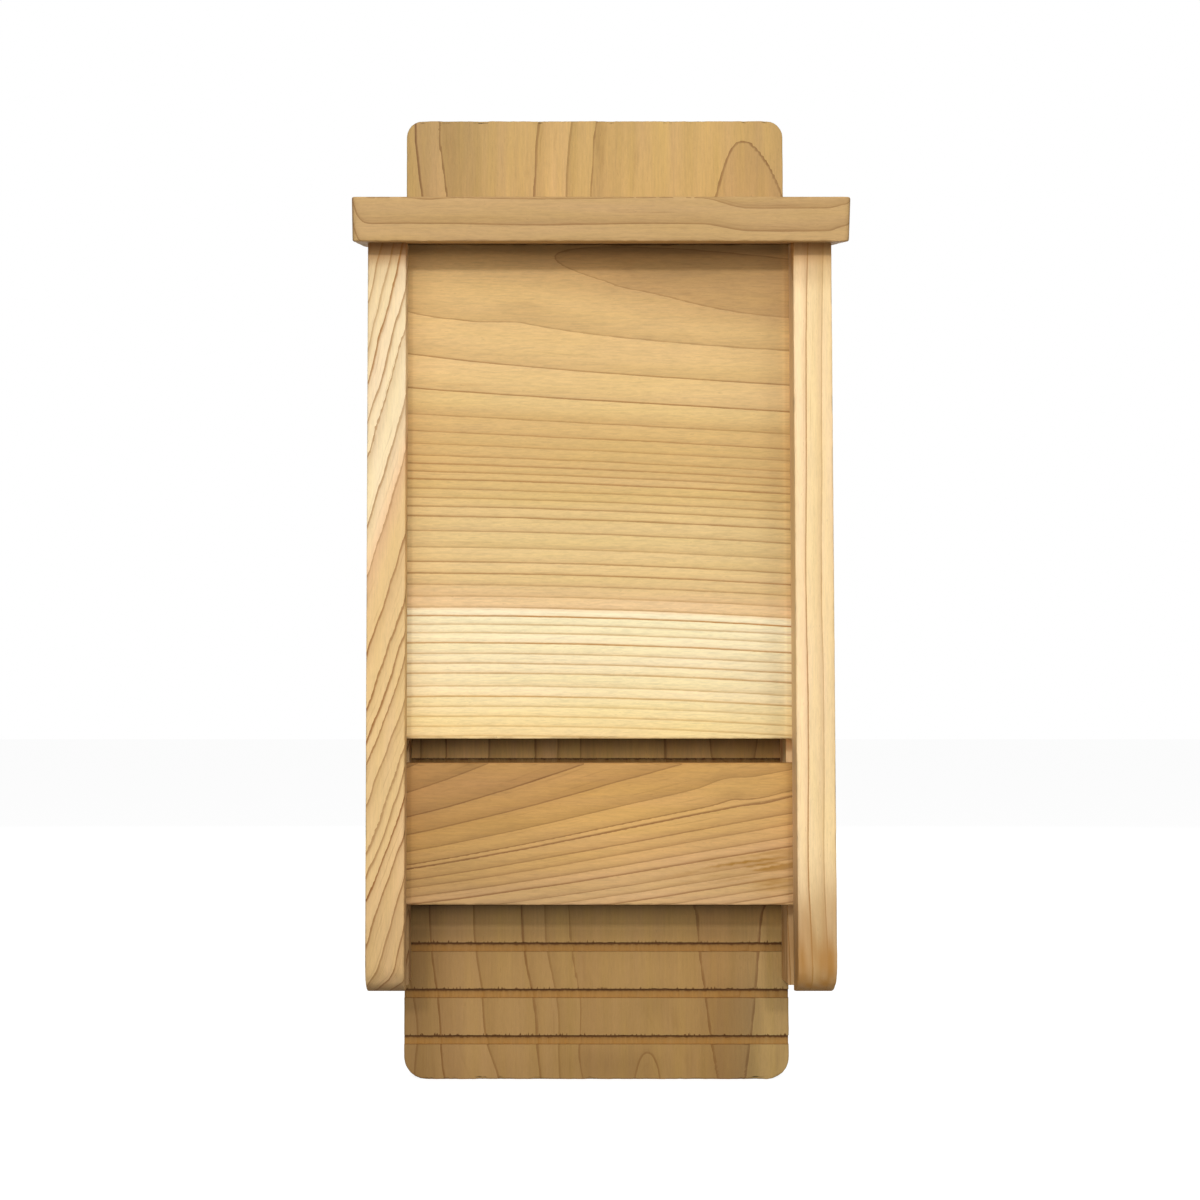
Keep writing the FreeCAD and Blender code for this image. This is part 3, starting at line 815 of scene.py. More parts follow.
@dataclass
class Board:
    """A board: two broad skins over one grid and an edge with worn arrises, closed all round.

    Its patches of tone make the wood lighter or darker, and those of stain tint it; on some boards these
    patches are painted light and shade.
    """

    name: str
    node: str
    slot: str
    timber: Timber
    arris: float = 0.9
    seed: int = 1
    heads: Pairs = ()
    head_radius: float = 4.0
    head_dip: float = 0.3

    HEAD_RAMP = (1.3, 0.1)
    WEAR = ((0.3, (9.0, 9.0)), (0.2, (2.5, 2.5)))
    WEAR_RANGE = (0.45, 1.75)
    ARC_POINTS = 5
    FLAT_POINTS = 13
    PROBE = 0.25
    LEAST_STEEP = 0.004
    TONES: ClassVar[Patches] = ()
    STAINS: ClassVar[Patches] = ()

    def grid(self, inset: float) -> Grid:
        """The grid of a skin whose outline is moved inwards by the inset."""
        raise NotImplementedError

    def skins(self, u: Array, v: Array) -> Grid:
        """The depth of the first and of the second skin over a grid."""
        raise NotImplementedError

    def place(self, u: Array, v: Array, w: Array) -> Array:
        """Points in the object's frame from a grid and a depth."""
        raise NotImplementedError

    def rings(self, points: Array) -> Array:
        """The ring count at each point."""
        raise NotImplementedError

    def tone(self, points: Array) -> Array:
        """How light the wood is at each point, about one, painted light and shade included."""
        return 1 + total(self.TONES, points)

    def stain(self, points: Array) -> Array:
        """How strongly the wood is stained at each point, from 0 to 1, brown tints of painted shade included.
        """
        return total(self.STAINS, points)

    def dip(self, u: Array, v: Array) -> Array:
        """Works out how far the skin is pressed in round the screw heads.

        It is the full dip under a head, then a short smooth ramp.

        Args:
            u: places across the skin.
            v: places up the skin.

        Returns:
            The depth at each place.
        """
        depth = np.zeros(u.shape)
        far, close = (self.head_radius + more for more in self.HEAD_RAMP)
        for across, up in self.heads:
            depth = np.maximum(depth, self.head_dip * smooth(np.hypot(u - across, v - up), far, close))
        return depth

    def surface(self) -> tuple[Array, Array]:
        """Works out the closed surface.

        The skins' borders lie an arris inside the outline. Between them the edge runs as a quarter
        circle, a flat and a quarter circle, and the arris swells and shrinks along the edge.

        Returns:
            The points and the faces.
        """
        u, v = self.grid(self.arris)
        full_u, full_v = self.grid(0.0)
        columns, rows = u.shape
        path = edge_path(columns, rows)
        u, v = u.ravel(), v.ravel()
        rim_u, rim_v = full_u.ravel()[path], full_v.ravel()[path]
        wear = 1 + ripples(np.stack([rim_u, rim_v], axis=1), self.WEAR, self.seed)
        wear = np.clip(wear, *self.WEAR_RANGE)
        in_u, in_v = (u[path] - rim_u) * wear, (v[path] - rim_v) * wear
        u[path], v[path] = rim_u + in_u, rim_v + in_v
        front, back = self.skins(u, v)
        start, end = front[path], back[path]
        round_off = np.sign(end - start) * self.arris * wear
        turns = np.linspace(0, math.pi / 2, self.ARC_POINTS)
        top, foot = start + round_off, end - round_off
        layers = [(1 - math.sin(turn), start + round_off * (1 - math.cos(turn))) for turn in turns[1:]]
        layers += [(0.0, top + (foot - top) * share) for share in np.linspace(0, 1, self.FLAT_POINTS)[1:-1]]
        layers += [(1 - math.sin(turn), end - round_off * (1 - math.cos(turn))) for turn in turns[:0:-1]]
        points = [self.place(u, v, front)]
        points += [self.place(rim_u + in_u * share, rim_v + in_v * share, depth) for share, depth in layers]
        points.append(self.place(u, v, back))
        strips = np.arange(len(layers) * path.size).reshape(len(layers), path.size) + u.size
        far_side = u.size + strips.size
        rims = np.concatenate([path[None, :], strips, path[None, :] + far_side])
        after = np.roll(rims, -1, axis=1)
        edge = np.stack([after[:-1], rims[:-1], rims[1:], after[1:]], axis=-1).reshape(-1, 4)
        skin = grid_faces(columns, rows)
        return np.concatenate(points), np.concatenate([skin, edge, skin[:, ::-1] + far_side])

    def steepness(self, points: Array, faces: Array) -> Array:
        """How many rings are crossed in a millimetre along the surface.

        It is the ring count's slope in space less its part along the surface's normal.

        Args:
            points: the surface's points.
            faces: its faces.

        Returns:
            The steepness at each point.
        """
        slope = np.stack([(self.rings(points + axis) - self.rings(points - axis)) / (2 * self.PROBE)
                          for axis in np.eye(3) * self.PROBE], axis=1)
        a, b, c, d = (points[faces[:, k]] for k in range(4))
        facing = np.cross(c - a, d - b)
        normal = np.zeros_like(points)
        for corner in range(4):
            for axis in Axis:
                normal[:, axis] += np.bincount(faces[:, corner], facing[:, axis], len(points))
        normal /= np.maximum(np.linalg.norm(normal, axis=1, keepdims=True), 1e-9)
        slope -= normal * (slope * normal).sum(axis=1, keepdims=True)
        return np.maximum(np.linalg.norm(slope, axis=1), self.LEAST_STEEP)

    def build(self) -> None:
        """Makes the board's mesh, dresses it and puts it in the CAD board's place."""
        points, faces = self.surface()
        values = {"rings": self.rings(points), "steep": self.steepness(points, faces),
                  "tone": self.tone(points), "stain": self.stain(points)}
        made = make_mesh(self.name, points, faces, values)
        made.data.materials.append(self.timber.make())
        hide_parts(self.node)
        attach(made, "root")
        LOG.info("%s: %d points, %d faces", self.name, len(points), len(faces))


@dataclass
class BackBoard(Board):
    """The upright back board with its rounded corners and level grip grooves.

    The pith's place across and its nearness are lines through (height, value) pairs. The rings are
    spaced in one way at the foot and in another at the head. Rows of points follow a groove's
    lower edge, its middle and its upper edge.
    """

    half_width: float = 99.0
    height: float = 500.0
    thick: float = 19.0
    corners: tuple[float, float] = (11.5, 8.5)
    groove_first: float = 20.1
    groove_pitch: float = 23.7
    groove_count: int = 18
    groove_height: float = 4.6
    groove_depth: float = 1.6

    COLUMNS = 134
    HIDDEN = (100.0, 455.0)
    SHOWN_STEP = 2.6
    HIDDEN_STEP = 9.0
    LOWER_ROWS = (-0.35, 0.0, 0.06)
    MIDDLE_ROWS = (-1.2, 0.2)
    UPPER_ROWS = (-1.7, -1.3, -0.9, -0.5, -0.06, 0.0, 0.4, 1.2)
    WALL_RUN = 0.06
    TEARS = ((0.13, (3.2, 9.0)), (0.08, (14.0, 9.0)))
    TEAR_REACH = 0.9
    SWAY = (8.0, 2.5)
    SWAY_WAVES = (60.0, 40.0)
    SWAY_PART = Patch(1.0, Slope(Z, 96, -8), Slope(X, 60, 0))
    PITH_DEPTH = 45.0
    PITH_ACROSS = ((0, 69.3), (71, 68.4), (165, 71), (461.5, 81.1), (489.3, 78.1))
    PITH_NEAR = ((0, 47), (84, 286), (165, 1300), (300, 1700), (420, 800), (461.5, 289), (489.3, 0),
                 (500, -111))
    FOOT_GROWTH = ((20, -1.6), (45, 0), (93.5, 1), (104.5, 2), (115.7, 3), (139, 4), (161, 5), (174, 6),
                   (200, 8))
    HEAD_GROWTH = ((20, -1.6), (45, 0), (91.5, 1), (103, 2), (118.5, 3), (163, 4), (175, 5), (200, 7))
    HEAD_SHARE = Slope(Z, 150, 440)
    HEAD_PART = (Slope(Z, 440, 465), Slope(X, 30, 10))
    HEAD_LEANS = (Patch(6.1, *HEAD_PART, Slope(X, -70, -35)), Patch(-2.1, *HEAD_PART))
    HEAD_RISE = ((461, 0), (500, 1))
    FRONT = Slope(Y, -10, -17)
    LEANS = (Patch(4.0, Bell(Z, -4, 17), Bell(X, -70, 26)), Patch(3.5, Bell(Z, -4, 12), Bell(X, -2, 8)),
             Patch(10.0, Bell(Z, 170, 25), Slope(X, 40, 0)), Patch(-2.4, *HEAD_PART))
    ARCH = Patch(1.7, Bell(X, 26.5, 6.1), Bell(Z, -6, 19))
    VENT = (Slope(Z, 140, 160), Slope(Z, 200, 180))
    # Painted light on the back board behind the vent, which turns to painted shade above the vent's middle.
    VENT_PAINTED_LIGHT = Patch(0.12, *VENT)
    VENT_MIDDLE = 170.5
    VENT_FADE = (-4, 3)
    MOUTH = Slope(Z, 120, 95)
    TOP_END = Slope(Z, 430, 450)
    # The front's patches: painted light behind the vent, then painted shade and light under the lower panel,
    # then lighter and darker patches of wood.
    FRONT_TONES_AND_PAINTED_LIGHT = (
        Patch(0.34, *VENT), Patch(0.22, Bell(Z, 81.5, 3.5)), Patch(-0.11, Bell(Z, 75.5, 3)),
        Patch(-0.25, Slope(Z, 85.5, 88.5), Slope(Z, 130, 100)),
        Patch(-0.12, Slope(Z, 62, 40), Slope(X, 52, 55), Slope(X, 86, 83)),
        Patch(0.11, Slope(X, 74, 84), MOUTH), Patch(-0.25, Slope(X, -62, -98), MOUTH),
        Patch(0.05, Slope(X, -40, 0), Slope(Z, 40, 50), MOUTH),
        Patch(-0.2, Slope(X, -20, -80), TOP_END), Patch(-0.08, Slope(X, 74, 84), TOP_END),
        Patch(-0.14, Bell(X, 8, 26), Bell(Z, 8, 9)), Patch(-0.098, Bell(X, 30, 9), Bell(Z, 38, 9)),
        Patch(-0.05, Slope(Z, 20, 0)))
    TONES = (Patch(-0.31, Slope(Z, 300, 70)),)
    STAINS = (Patch(0.26, Slope(Z, 105, 60), Slope(X, 86, 60)),)

    def groove_middles(self) -> Array:
        """The heights of the grooves' middles."""
        return self.groove_first + self.groove_pitch * np.arange(self.groove_count)

    def torn(self, across: Array, edge: float) -> Array:
        """How far the groove's edge at that height is torn upwards at places across the board."""
        spots = np.stack([across.ravel(), np.full(across.size, edge)], axis=1)
        return ripples(spots, self.TEARS, self.seed + 5).reshape(across.shape)

    def grid(self, inset: float) -> Grid:
        """Rows follow each groove's edges, and lie close together where the grooves show.

        Args:
            inset: how far the outline is moved inwards.

        Returns:
            The grid's places across and up.
        """
        half = self.groove_height / 2
        offsets = (*(at - half for at in self.LOWER_ROWS), *self.MIDDLE_ROWS,
                   *(at + half for at in self.UPPER_ROWS))
        marks = (*corner_rows(0, self.height, *self.corners),
                 *(middle + at for middle in self.groove_middles() for at in offsets))
        foot, head = self.HIDDEN
        parts = (graded(0, foot, self.SHOWN_STEP, marks), graded(foot, head, self.HIDDEN_STEP, marks),
                 graded(head, self.height, self.SHOWN_STEP, marks))
        rows = np.unique(np.round(np.concatenate(parts), 3))
        low, high = (-self.half_width, 0), (self.half_width, self.height)
        u, v = rounded(low, high, self.corners, np.linspace(0, 1, self.COLUMNS), rows, inset)
        for edge in self.groove_middles() + half:
            v += self.torn(u, edge) * bump(v, edge, self.TEAR_REACH)
        return u, v

    def skins(self, u: Array, v: Array) -> Grid:
        """The front skin lies deeper in a groove; the rear one has dips for the roof's screws.

        Args:
            u: places across the board.
            v: places up the board.

        Returns:
            The depths of both skins.
        """
        depth = np.zeros(u.shape)
        half = self.groove_height / 2
        for middle in self.groove_middles():
            low, high = middle - half, middle + half + self.torn(u, middle + half)
            inside = smooth(v, low, low + self.WALL_RUN) * smooth(v, high, high - self.WALL_RUN)
            depth = np.maximum(depth, self.groove_depth * inside)
        return -self.thick + depth, -self.dip(u, v)

    def place(self, u: Array, v: Array, w: Array) -> Array:
        """Across, depth and height are the frame's axes."""
        return np.stack([u, w, v], axis=1)

    def rings(self, points: Array) -> Array:
        """Circles round a pith behind the board, which comes nearest in the middle and leaves a long eye.

        The pith leans to the right in places. The ring count goes over from the foot's spacing to
        the head's, and an arch rises at the foot.

        Args:
            points: places, one row for each.

        Returns:
            The ring count at each place.
        """
        x, y, z = points.T
        middle, swing = self.SWAY
        sway = middle + swing * ripple(np.stack([x, z], axis=1), self.SWAY_WAVES, self.seed + 8)
        lean = sway * self.SWAY_PART.at(points) + total(self.LEANS, points)
        lean += through(z, self.HEAD_RISE) * total(self.HEAD_LEANS, points)
        depth = np.sqrt(self.PITH_DEPTH ** 2 - through(z, self.PITH_NEAR))
        radius = np.hypot(x - lean - through(z, self.PITH_ACROSS), depth + (y + self.thick))
        foot, head = ring_count(radius, self.FOOT_GROWTH), ring_count(radius, self.HEAD_GROWTH)
        share = self.HEAD_SHARE.at(points)
        return foot * (1 - share) + head * share + self.ARCH.at(points)

    def tone(self, points: Array) -> Array:
        """The patches, and on the front more patches, among them painted light and shade, and painted light
        behind the vent that fades upwards into painted shade at the vent's top.
        """
        fade = self.VENT_PAINTED_LIGHT.at(points) * np.clip(self.VENT_MIDDLE - points[:, Z], *self.VENT_FADE)
        return super().tone(points) + (total(self.FRONT_TONES_AND_PAINTED_LIGHT, points) + fade) * self.FRONT.at(points)


@dataclass
class SideBoard(Board):
    """An upright side with a rounded lower front corner, a dado for the panels and a rabbet for the back.

    The dado has a start, an end and a depth, and the rabbet a start and a depth. In front under the roof the
    wood is painted darker and browner, painted shade from the roof. Each side has patches of its own there
    and on its inner face, painted light and shade.
    """

    hand: float = 1.0
    inner: float = 95.5
    outer: float = 114.5
    front: float = -72.5
    foot: float = 51.0
    corner: float = 15.0
    slope: float = 13.5
    roof_front: tuple[float, float] = (-91.0, 437.0)
    roof_thick: float = 21.0
    rabbet: tuple[float, float] = (-19.2, 3.7)
    dado: tuple[float, float, float] = (-58.2, -38.8, 3.7)

    WALL_RUN = 0.03
    INSET_REACH = 2.0
    COLUMN_STEP = 1.15
    ROWS = 250
    ARC_END = 1.3
    ARC_COLUMNS = 11
    FRONT = Slope(Y, -58, -70)
    FRONT_EDGE = Slope(Y, -71.4, -72)
    BEHIND_EDGE = Slope(Y, -72, -71.4)
    BEHIND_PANEL = Slope(Y, -60, -57)
    MOUTH = Slope(Z, 170, 120)
    # Where the wood grows darker towards the foot.
    DARKER_FOOT = Slope(Z, 125, 72)
    # Zones in front under the roof, where tone and a brown tint are painted shade from the roof.
    UNDER_ROOF = (Slope(Z, 393, 406), FRONT)
    ROOF_SHADE = (Slope(Z, 406, 418), FRONT)
    ROOF_SHADE_TINT = (Slope(Z, 405, 416), FRONT)
    # Painted shade in front under the roof, darkest right under it.
    TONES = (Patch(-0.08, *UNDER_ROOF), Patch(-0.3, Slope(Z, 415.5, 418), FRONT))

    def top(self, y: Array) -> Array:
        """The height of the roof's underside at a depth."""
        lean, (near, high) = math.radians(self.slope), self.roof_front
        return high + (y - near) * math.tan(lean) - self.roof_thick / math.cos(lean)

    def grid(self, inset: float) -> Grid:
        """Columns stand at fixed depths; each runs from the foot or the corner's arc up to the roof.

        Args:
            inset: how far the outline is moved inwards.

        Returns:
            The grid's depths and heights.
        """
        run, reach = self.WALL_RUN, self.INSET_REACH
        arc = self.front + self.corner * (1 - np.cos(np.linspace(0, self.ARC_END, self.ARC_COLUMNS)))
        marks = (*arc, self.dado[0], self.dado[0] + run, self.dado[1] - run, self.dado[1],
                 self.rabbet[0], self.rabbet[0] + run)
        depth = graded(self.front, 0.0, self.COLUMN_STEP, marks)
        depth = np.interp(depth, [self.front, self.front + reach, -reach, 0],
                          [self.front + inset, self.front + reach, -reach, -inset])
        round_in = np.clip(self.front + self.corner - depth, 0, self.corner - inset)
        low = self.foot + self.corner - np.sqrt((self.corner - inset) ** 2 - round_in ** 2)
        high = self.top(depth) - inset
        share = graded(0, 1, 1 / self.ROWS)
        height = low[:, None] + (high - low)[:, None] * share[None, :]
        return np.broadcast_to(depth[:, None], height.shape).copy(), height

    def skins(self, u: Array, v: Array) -> Grid:
        """The outer skin is flat but for the screw dips; the inner one steps back in dado and rabbet.

        Args:
            u: depths on the board.
            v: heights on the board.

        Returns:
            Both skins' distances from the middle of the box.
        """
        run = self.WALL_RUN
        in_dado = smooth(u, self.dado[0], self.dado[0] + run) * smooth(u, self.dado[1], self.dado[1] - run)
        in_rabbet = smooth(u, self.rabbet[0], self.rabbet[0] + run)
        return self.outer - self.dip(u, v), self.inner + self.dado[2] * in_dado + self.rabbet[1] * in_rabbet

    def place(self, u: Array, v: Array, w: Array) -> Array:
        """The depth of a skin is measured outwards from the middle of the box."""
        return np.stack([self.hand * w, u, v], axis=1)


@dataclass
class LeftSide(SideBoard):
    """The left side, whose rings cross the board on a slant."""

    hand: float = -1.0

    INSIDE = Slope(X, -101, -99)
    # A darker foot; under the roof and on the inner face, painted shade.
    TONES = (*SideBoard.TONES, Patch(-0.1, SideBoard.DARKER_FOOT), Patch(-0.08, *SideBoard.ROOF_SHADE),
             Patch(-0.1, SideBoard.BEHIND_EDGE, INSIDE), Patch(-0.18, SideBoard.BEHIND_PANEL, INSIDE))
    # Brown tints of painted shade under the roof and low on the inner face.
    STAINS = (Patch(0.1, *SideBoard.UNDER_ROOF), Patch(0.62, *SideBoard.ROOF_SHADE_TINT),
              Patch(0.15, SideBoard.MOUTH, SideBoard.BEHIND_PANEL, INSIDE))
    PITH_DEPTH = -36
    SHIFT_FROM = 240
    SHIFT = (0.0, 33.119, -2.277, -0.19)
    FOOT_BEND = (120, 0.0011)
    GROWTH = ((53.8, 0), (59.9, 1), (67.1, 2), (72.8, 3), (76.5, 4), (80.2, 5), (88, 6), (94.5, 7),
              (98.5, 8), (103.9, 9), (112.8, 10), (124.9, 11), (132.2, 12), (142.2, 13), (146.8, 14),
              (152.4, 15), (156.7, 16), (162.6, 17))

    def rings(self, points: Array) -> Array:
        """Circles round a pith that leans across the board as it climbs.

        The pith's place across is a polynomial of the height, bent by a square near the foot.

        Args:
            points: places, one row for each.

        Returns:
            The ring count at each place.
        """
        x, y, z = points.T
        start, bend = self.FOOT_BEND
        shift = polynomial((z - self.SHIFT_FROM) / 100, *self.SHIFT) + bend * np.minimum(z - start, 0) ** 2
        return ring_count(np.hypot(x - shift, y - self.PITH_DEPTH), self.GROWTH)


@dataclass
class RightSide(SideBoard):
    """The right side, whose few rings stand upright, and whose foot is tanned."""

    INSIDE = Slope(X, 101, 99)
    # A darker foot; under the roof and beside the inner arris, painted light; on the inner face, painted
    # shade in front of the panels and painted light behind them.
    TONES = (*SideBoard.TONES, Patch(-0.24, SideBoard.DARKER_FOOT), Patch(0.4, *SideBoard.ROOF_SHADE),
             Patch(-0.2, SideBoard.BEHIND_EDGE, INSIDE), Patch(0.47, SideBoard.BEHIND_PANEL, INSIDE),
             Patch(0.11, Bell(X, 98.9, 1.7), SideBoard.FRONT_EDGE))
    # Brown tints of painted shade under the roof; low on the inner face the foot's tint is lessened.
    STAINS = (Patch(0.28, *SideBoard.UNDER_ROOF), Patch(0.5, *SideBoard.ROOF_SHADE_TINT),
              Patch(-0.11, SideBoard.MOUTH, SideBoard.BEHIND_PANEL, INSIDE))
    FOOT_STREAKS = (4.0, 4.0, 22.0)
    STREAK_SHARE = 0.2
    FOOT_STAIN = Patch(0.76, Slope(Z, 126, 66))
    WAVES = (Patch(2.2, Slope(Z, 320, 440)), Patch(1.8, Slope(Z, 130, 40)))
    SWAY = (0.35, 23)
    PITH_ACROSS = -60
    INWARD_SHARE = 0.5
    INWARD_BEND = 0.0045
    GROWTH = ((154.2, 0), (161.2, 1), (168.8, 2))

    def rings(self, points: Array) -> Array:
        """Long curves round a pith far to the left, which sways a little as it climbs.

        The radius is the distance to the pith with half the depth, and a little of the depth squared.

        Args:
            points: places, one row for each.

        Returns:
            The ring count at each place.
        """
        x, y, z = points.T
        amount, length = self.SWAY
        across = x - total(self.WAVES, points) - amount * np.sin(z / length) - self.PITH_ACROSS
        inward = y - self.front
        radius = np.hypot(across, self.INWARD_SHARE * inward) + self.INWARD_BEND * inward ** 2
        return ring_count(radius, self.GROWTH)

    def stain(self, points: Array) -> Array:
        """The patches, and a streaked stain towards the foot."""
        streaks = 1 + self.STREAK_SHARE * ripple(points, self.FOOT_STREAKS, self.seed + 4)
        return super().stain(points) + streaks * self.FOOT_STAIN.at(points)


@dataclass
class Panel(Board):
    """A front panel with level grain, its top cut to the roof's slope where it reaches it."""

    half_width: float = 99.0
    face: float = -58.0
    thick: float = 19.0
    foot: float = 175.0
    head: float = 423.3
    slope: float = 13.5
    step: float = 1.7
    corner: float = 1.0

    COLUMNS = 121
    FACE_WAVES = (60.0, 12.0)
    FACE_RELIEF = 0.06

    def grid(self, inset: float) -> Grid:
        """An even grid over the panel's face.

        Args:
            inset: how far the outline is moved inwards.

        Returns:
            The grid's places across and up.
        """
        corners = (self.corner, self.corner)
        rows = graded(self.foot, self.head, self.step, corner_rows(self.foot, self.head, *corners))
        return rounded((-self.half_width, self.foot), (self.half_width, self.head), corners,
                       np.linspace(0, 1, self.COLUMNS), rows, inset)

    def skins(self, u: Array, v: Array) -> Grid:
        """The face waves very slightly, as planed wood does."""
        wave = 1 + ripple(np.stack([u, v], axis=1), self.FACE_WAVES, self.seed + 3)
        return self.face + self.FACE_RELIEF * wave, np.full(u.shape, self.face + self.thick)

    def place(self, u: Array, v: Array, w: Array) -> Array:
        """Heights stretch towards the rear so that the top follows the slope."""
        lift = (w - self.face) * math.tan(math.radians(self.slope))
        return np.stack([u, w, v + lift * (v - self.foot) / (self.head - self.foot)], axis=1)


@dataclass
class UpperPanel(Panel):
    """The large upper front panel.

    The rings are circles round a pith far behind the panel. Its height and its distance squared are
    polynomials across the panel, one pair for most of it and one for the eye at the top.
    """

    EYE_FROM = -22.5
    RIGHT_END = Slope(X, 45, 80)
    STREAK = Bell(X, 88, 6)
    # Painted shade beside the left side board and right under the roof; painted light at the right end and
    # where the roof's shadow ends; the rest are lighter and darker patches of wood.
    TONES = (
        Patch(-0.07, Slope(X, -84, -94)), Patch(-0.05, Bell(X, -86.5, 4.5)),
        Patch(-0.07, Slope(Z, 400, 380), RIGHT_END), Patch(0.035, Bell(Z, 232, 13), RIGHT_END),
        Patch(-0.05, Slope(X, 40, 95), Slope(Z, 222, 200)), Patch(-0.065, STREAK),
        Patch(-0.065, STREAK, Slope(Z, 405, 375)), Patch(0.14, Slope(X, 91, 93.5)),
        Patch(-0.12, Bell(X, 36, 24), Bell(Z, 409, 3.5)), Patch(0.17, Bell(X, 0, 26), Bell(Z, 410, 6)),
        Patch(-0.4, Slope(Z, 416.5, 420.5)))
    LOW = (407.365, -0.841, -2.879)
    LOW_FAR = (244.231 ** 2, -6.77, 0.0383)
    EYE = (416.6, -0.137)
    EYE_FAR = (244.3 ** 2, -3.5, 0.0123)
    EYE_PART = Patch(1.0, Slope(Z, 378, 398), Slope(X, -62, -34))
    LEFT_DIP = Patch(0.76, Slope(Z, 370, 388), Slope(X, -10, -108))
    GROWTH = ((222, -8), (244.3, 0), (246.1, 1), (249.2, 2), (252.4, 3), (255.6, 4), (258, 5), (261.9, 7),
              (266.2, 10), (271.7, 13), (273.8, 14), (277.1, 15), (281, 16), (284.6, 17), (290.5, 19),
              (293.6, 20), (296.7, 21), (304, 24), (307, 25), (310.2, 26), (316.2, 28), (320.4, 29),
              (333.5, 33))

    def rings(self, points: Array) -> Array:
        """Circles round the pith for most of the panel, and circles of their own for the eye.

        Args:
            points: places, one row for each.

        Returns:
            The ring count at each place.
        """
        x, y, z = points.T
        from_eye = x - self.EYE_FROM
        deep = np.maximum(y - self.face - 2 * self.FACE_RELIEF, 0)
        below = np.minimum(z - polynomial(x / 100, *self.LOW), 0)
        lower = np.hypot(below, np.sqrt(polynomial(x, *self.LOW_FAR)) - deep) - self.LEFT_DIP.at(points)
        eye_far = np.sqrt(polynomial(from_eye, *self.EYE_FAR))
        eye = np.hypot(z - polynomial(from_eye, *self.EYE), eye_far - deep)
        share = self.EYE_PART.at(points)
        return ring_count(lower * (1 - share) + eye * share, self.GROWTH)


@dataclass
class LowerPanel(Panel):
    """The narrow lower front panel.

    The height of its pith and its distance squared are polynomials across the panel.
    """

    foot: float = 93.0
    head: float = 163.0
    slope: float = 0.0
    step: float = 0.9

    TONES = (
        Patch(-0.15, Slope(X, 30, -98)), Patch(-0.13, Slope(X, -20, -90), Bell(Z, 112, 14)),
        Patch(-0.04, Slope(X, 30, 80)), Patch(-0.06, Slope(Z, 112, 100)),
        Patch(-0.1, Bell(X, -88, 9), Bell(Z, 138, 7)))
    SLANT = (0.99, 0.14)
    STREAK_WAVES = (34.0, 1.9)
    STREAK_RISE = (1.4, -0.1)
    STREAK_FORCE = (0.95, 0.25)
    STREAK_ALONG = Bell(X, 92, 30)
    STREAK_PARTS = (Patch(1.0, STREAK_ALONG, Bell(Z, 101, 6)),
                    Patch(0.6, STREAK_ALONG, Bell(Z, 90, 4), Slope(X, 85, 100)))
    HIGH = (209.665, 0.228, 7.116)
    FAR = (66.665 ** 2, 32.46, -0.1433)
    LEAST_FAR = 9.0
    SWIRLS = (Patch(0.3, Bell(X, 64, 9), Bell(Z, 150, 6)), Patch(-0.22, Bell(X, 80, 8), Bell(Z, 147, 5)))
    GROWTH = ((56, 0), (68.15, 1), (80.3, 2), (89.0, 3), (97.3, 4), (103.9, 5), (105.7, 6), (111.35, 7),
              (115.2, 8), (119.7, 9), (123.3, 10), (128.25, 11), (131.5, 12), (135, 13))

    def rings(self, points: Array) -> Array:
        """Circles round a pith in front of the board, above it, with two swirls near the right end.

        Args:
            points: places, one row for each.

        Returns:
            The ring count at each place.
        """
        x, y, z = points.T
        depth = np.sqrt(np.maximum(polynomial(x, *self.FAR), self.LEAST_FAR))
        radius = np.hypot(z - polynomial(x / 100, *self.HIGH), depth + (y - self.face))
        return ring_count(radius, self.GROWTH) + total(self.SWIRLS, points)

    def stain(self, points: Array) -> Array:
        """Golden-olive streaks along the slanting grain near the right end.

        The frame is turned by the grain's slant. There the streaks are long ripples that are raised,
        cut off at 0 and 1 and spread over two bells across the grain.

        Args:
            points: places, one row for each.

        Returns:
            The stain's strength at each place.
        """
        x, y, z = points.T
        level, climb = self.SLANT
        turned = np.stack([x * level + z * climb, y, z * level - x * climb], axis=1)
        streaks = ripple(turned[:, [X, Z]], self.STREAK_WAVES, self.seed + 4)
        gain, start = self.STREAK_RISE
        more, least = self.STREAK_FORCE
        force = more * np.clip(gain * streaks + start, 0, 1) + least
        return np.minimum(force * total(self.STREAK_PARTS, turned), 1)


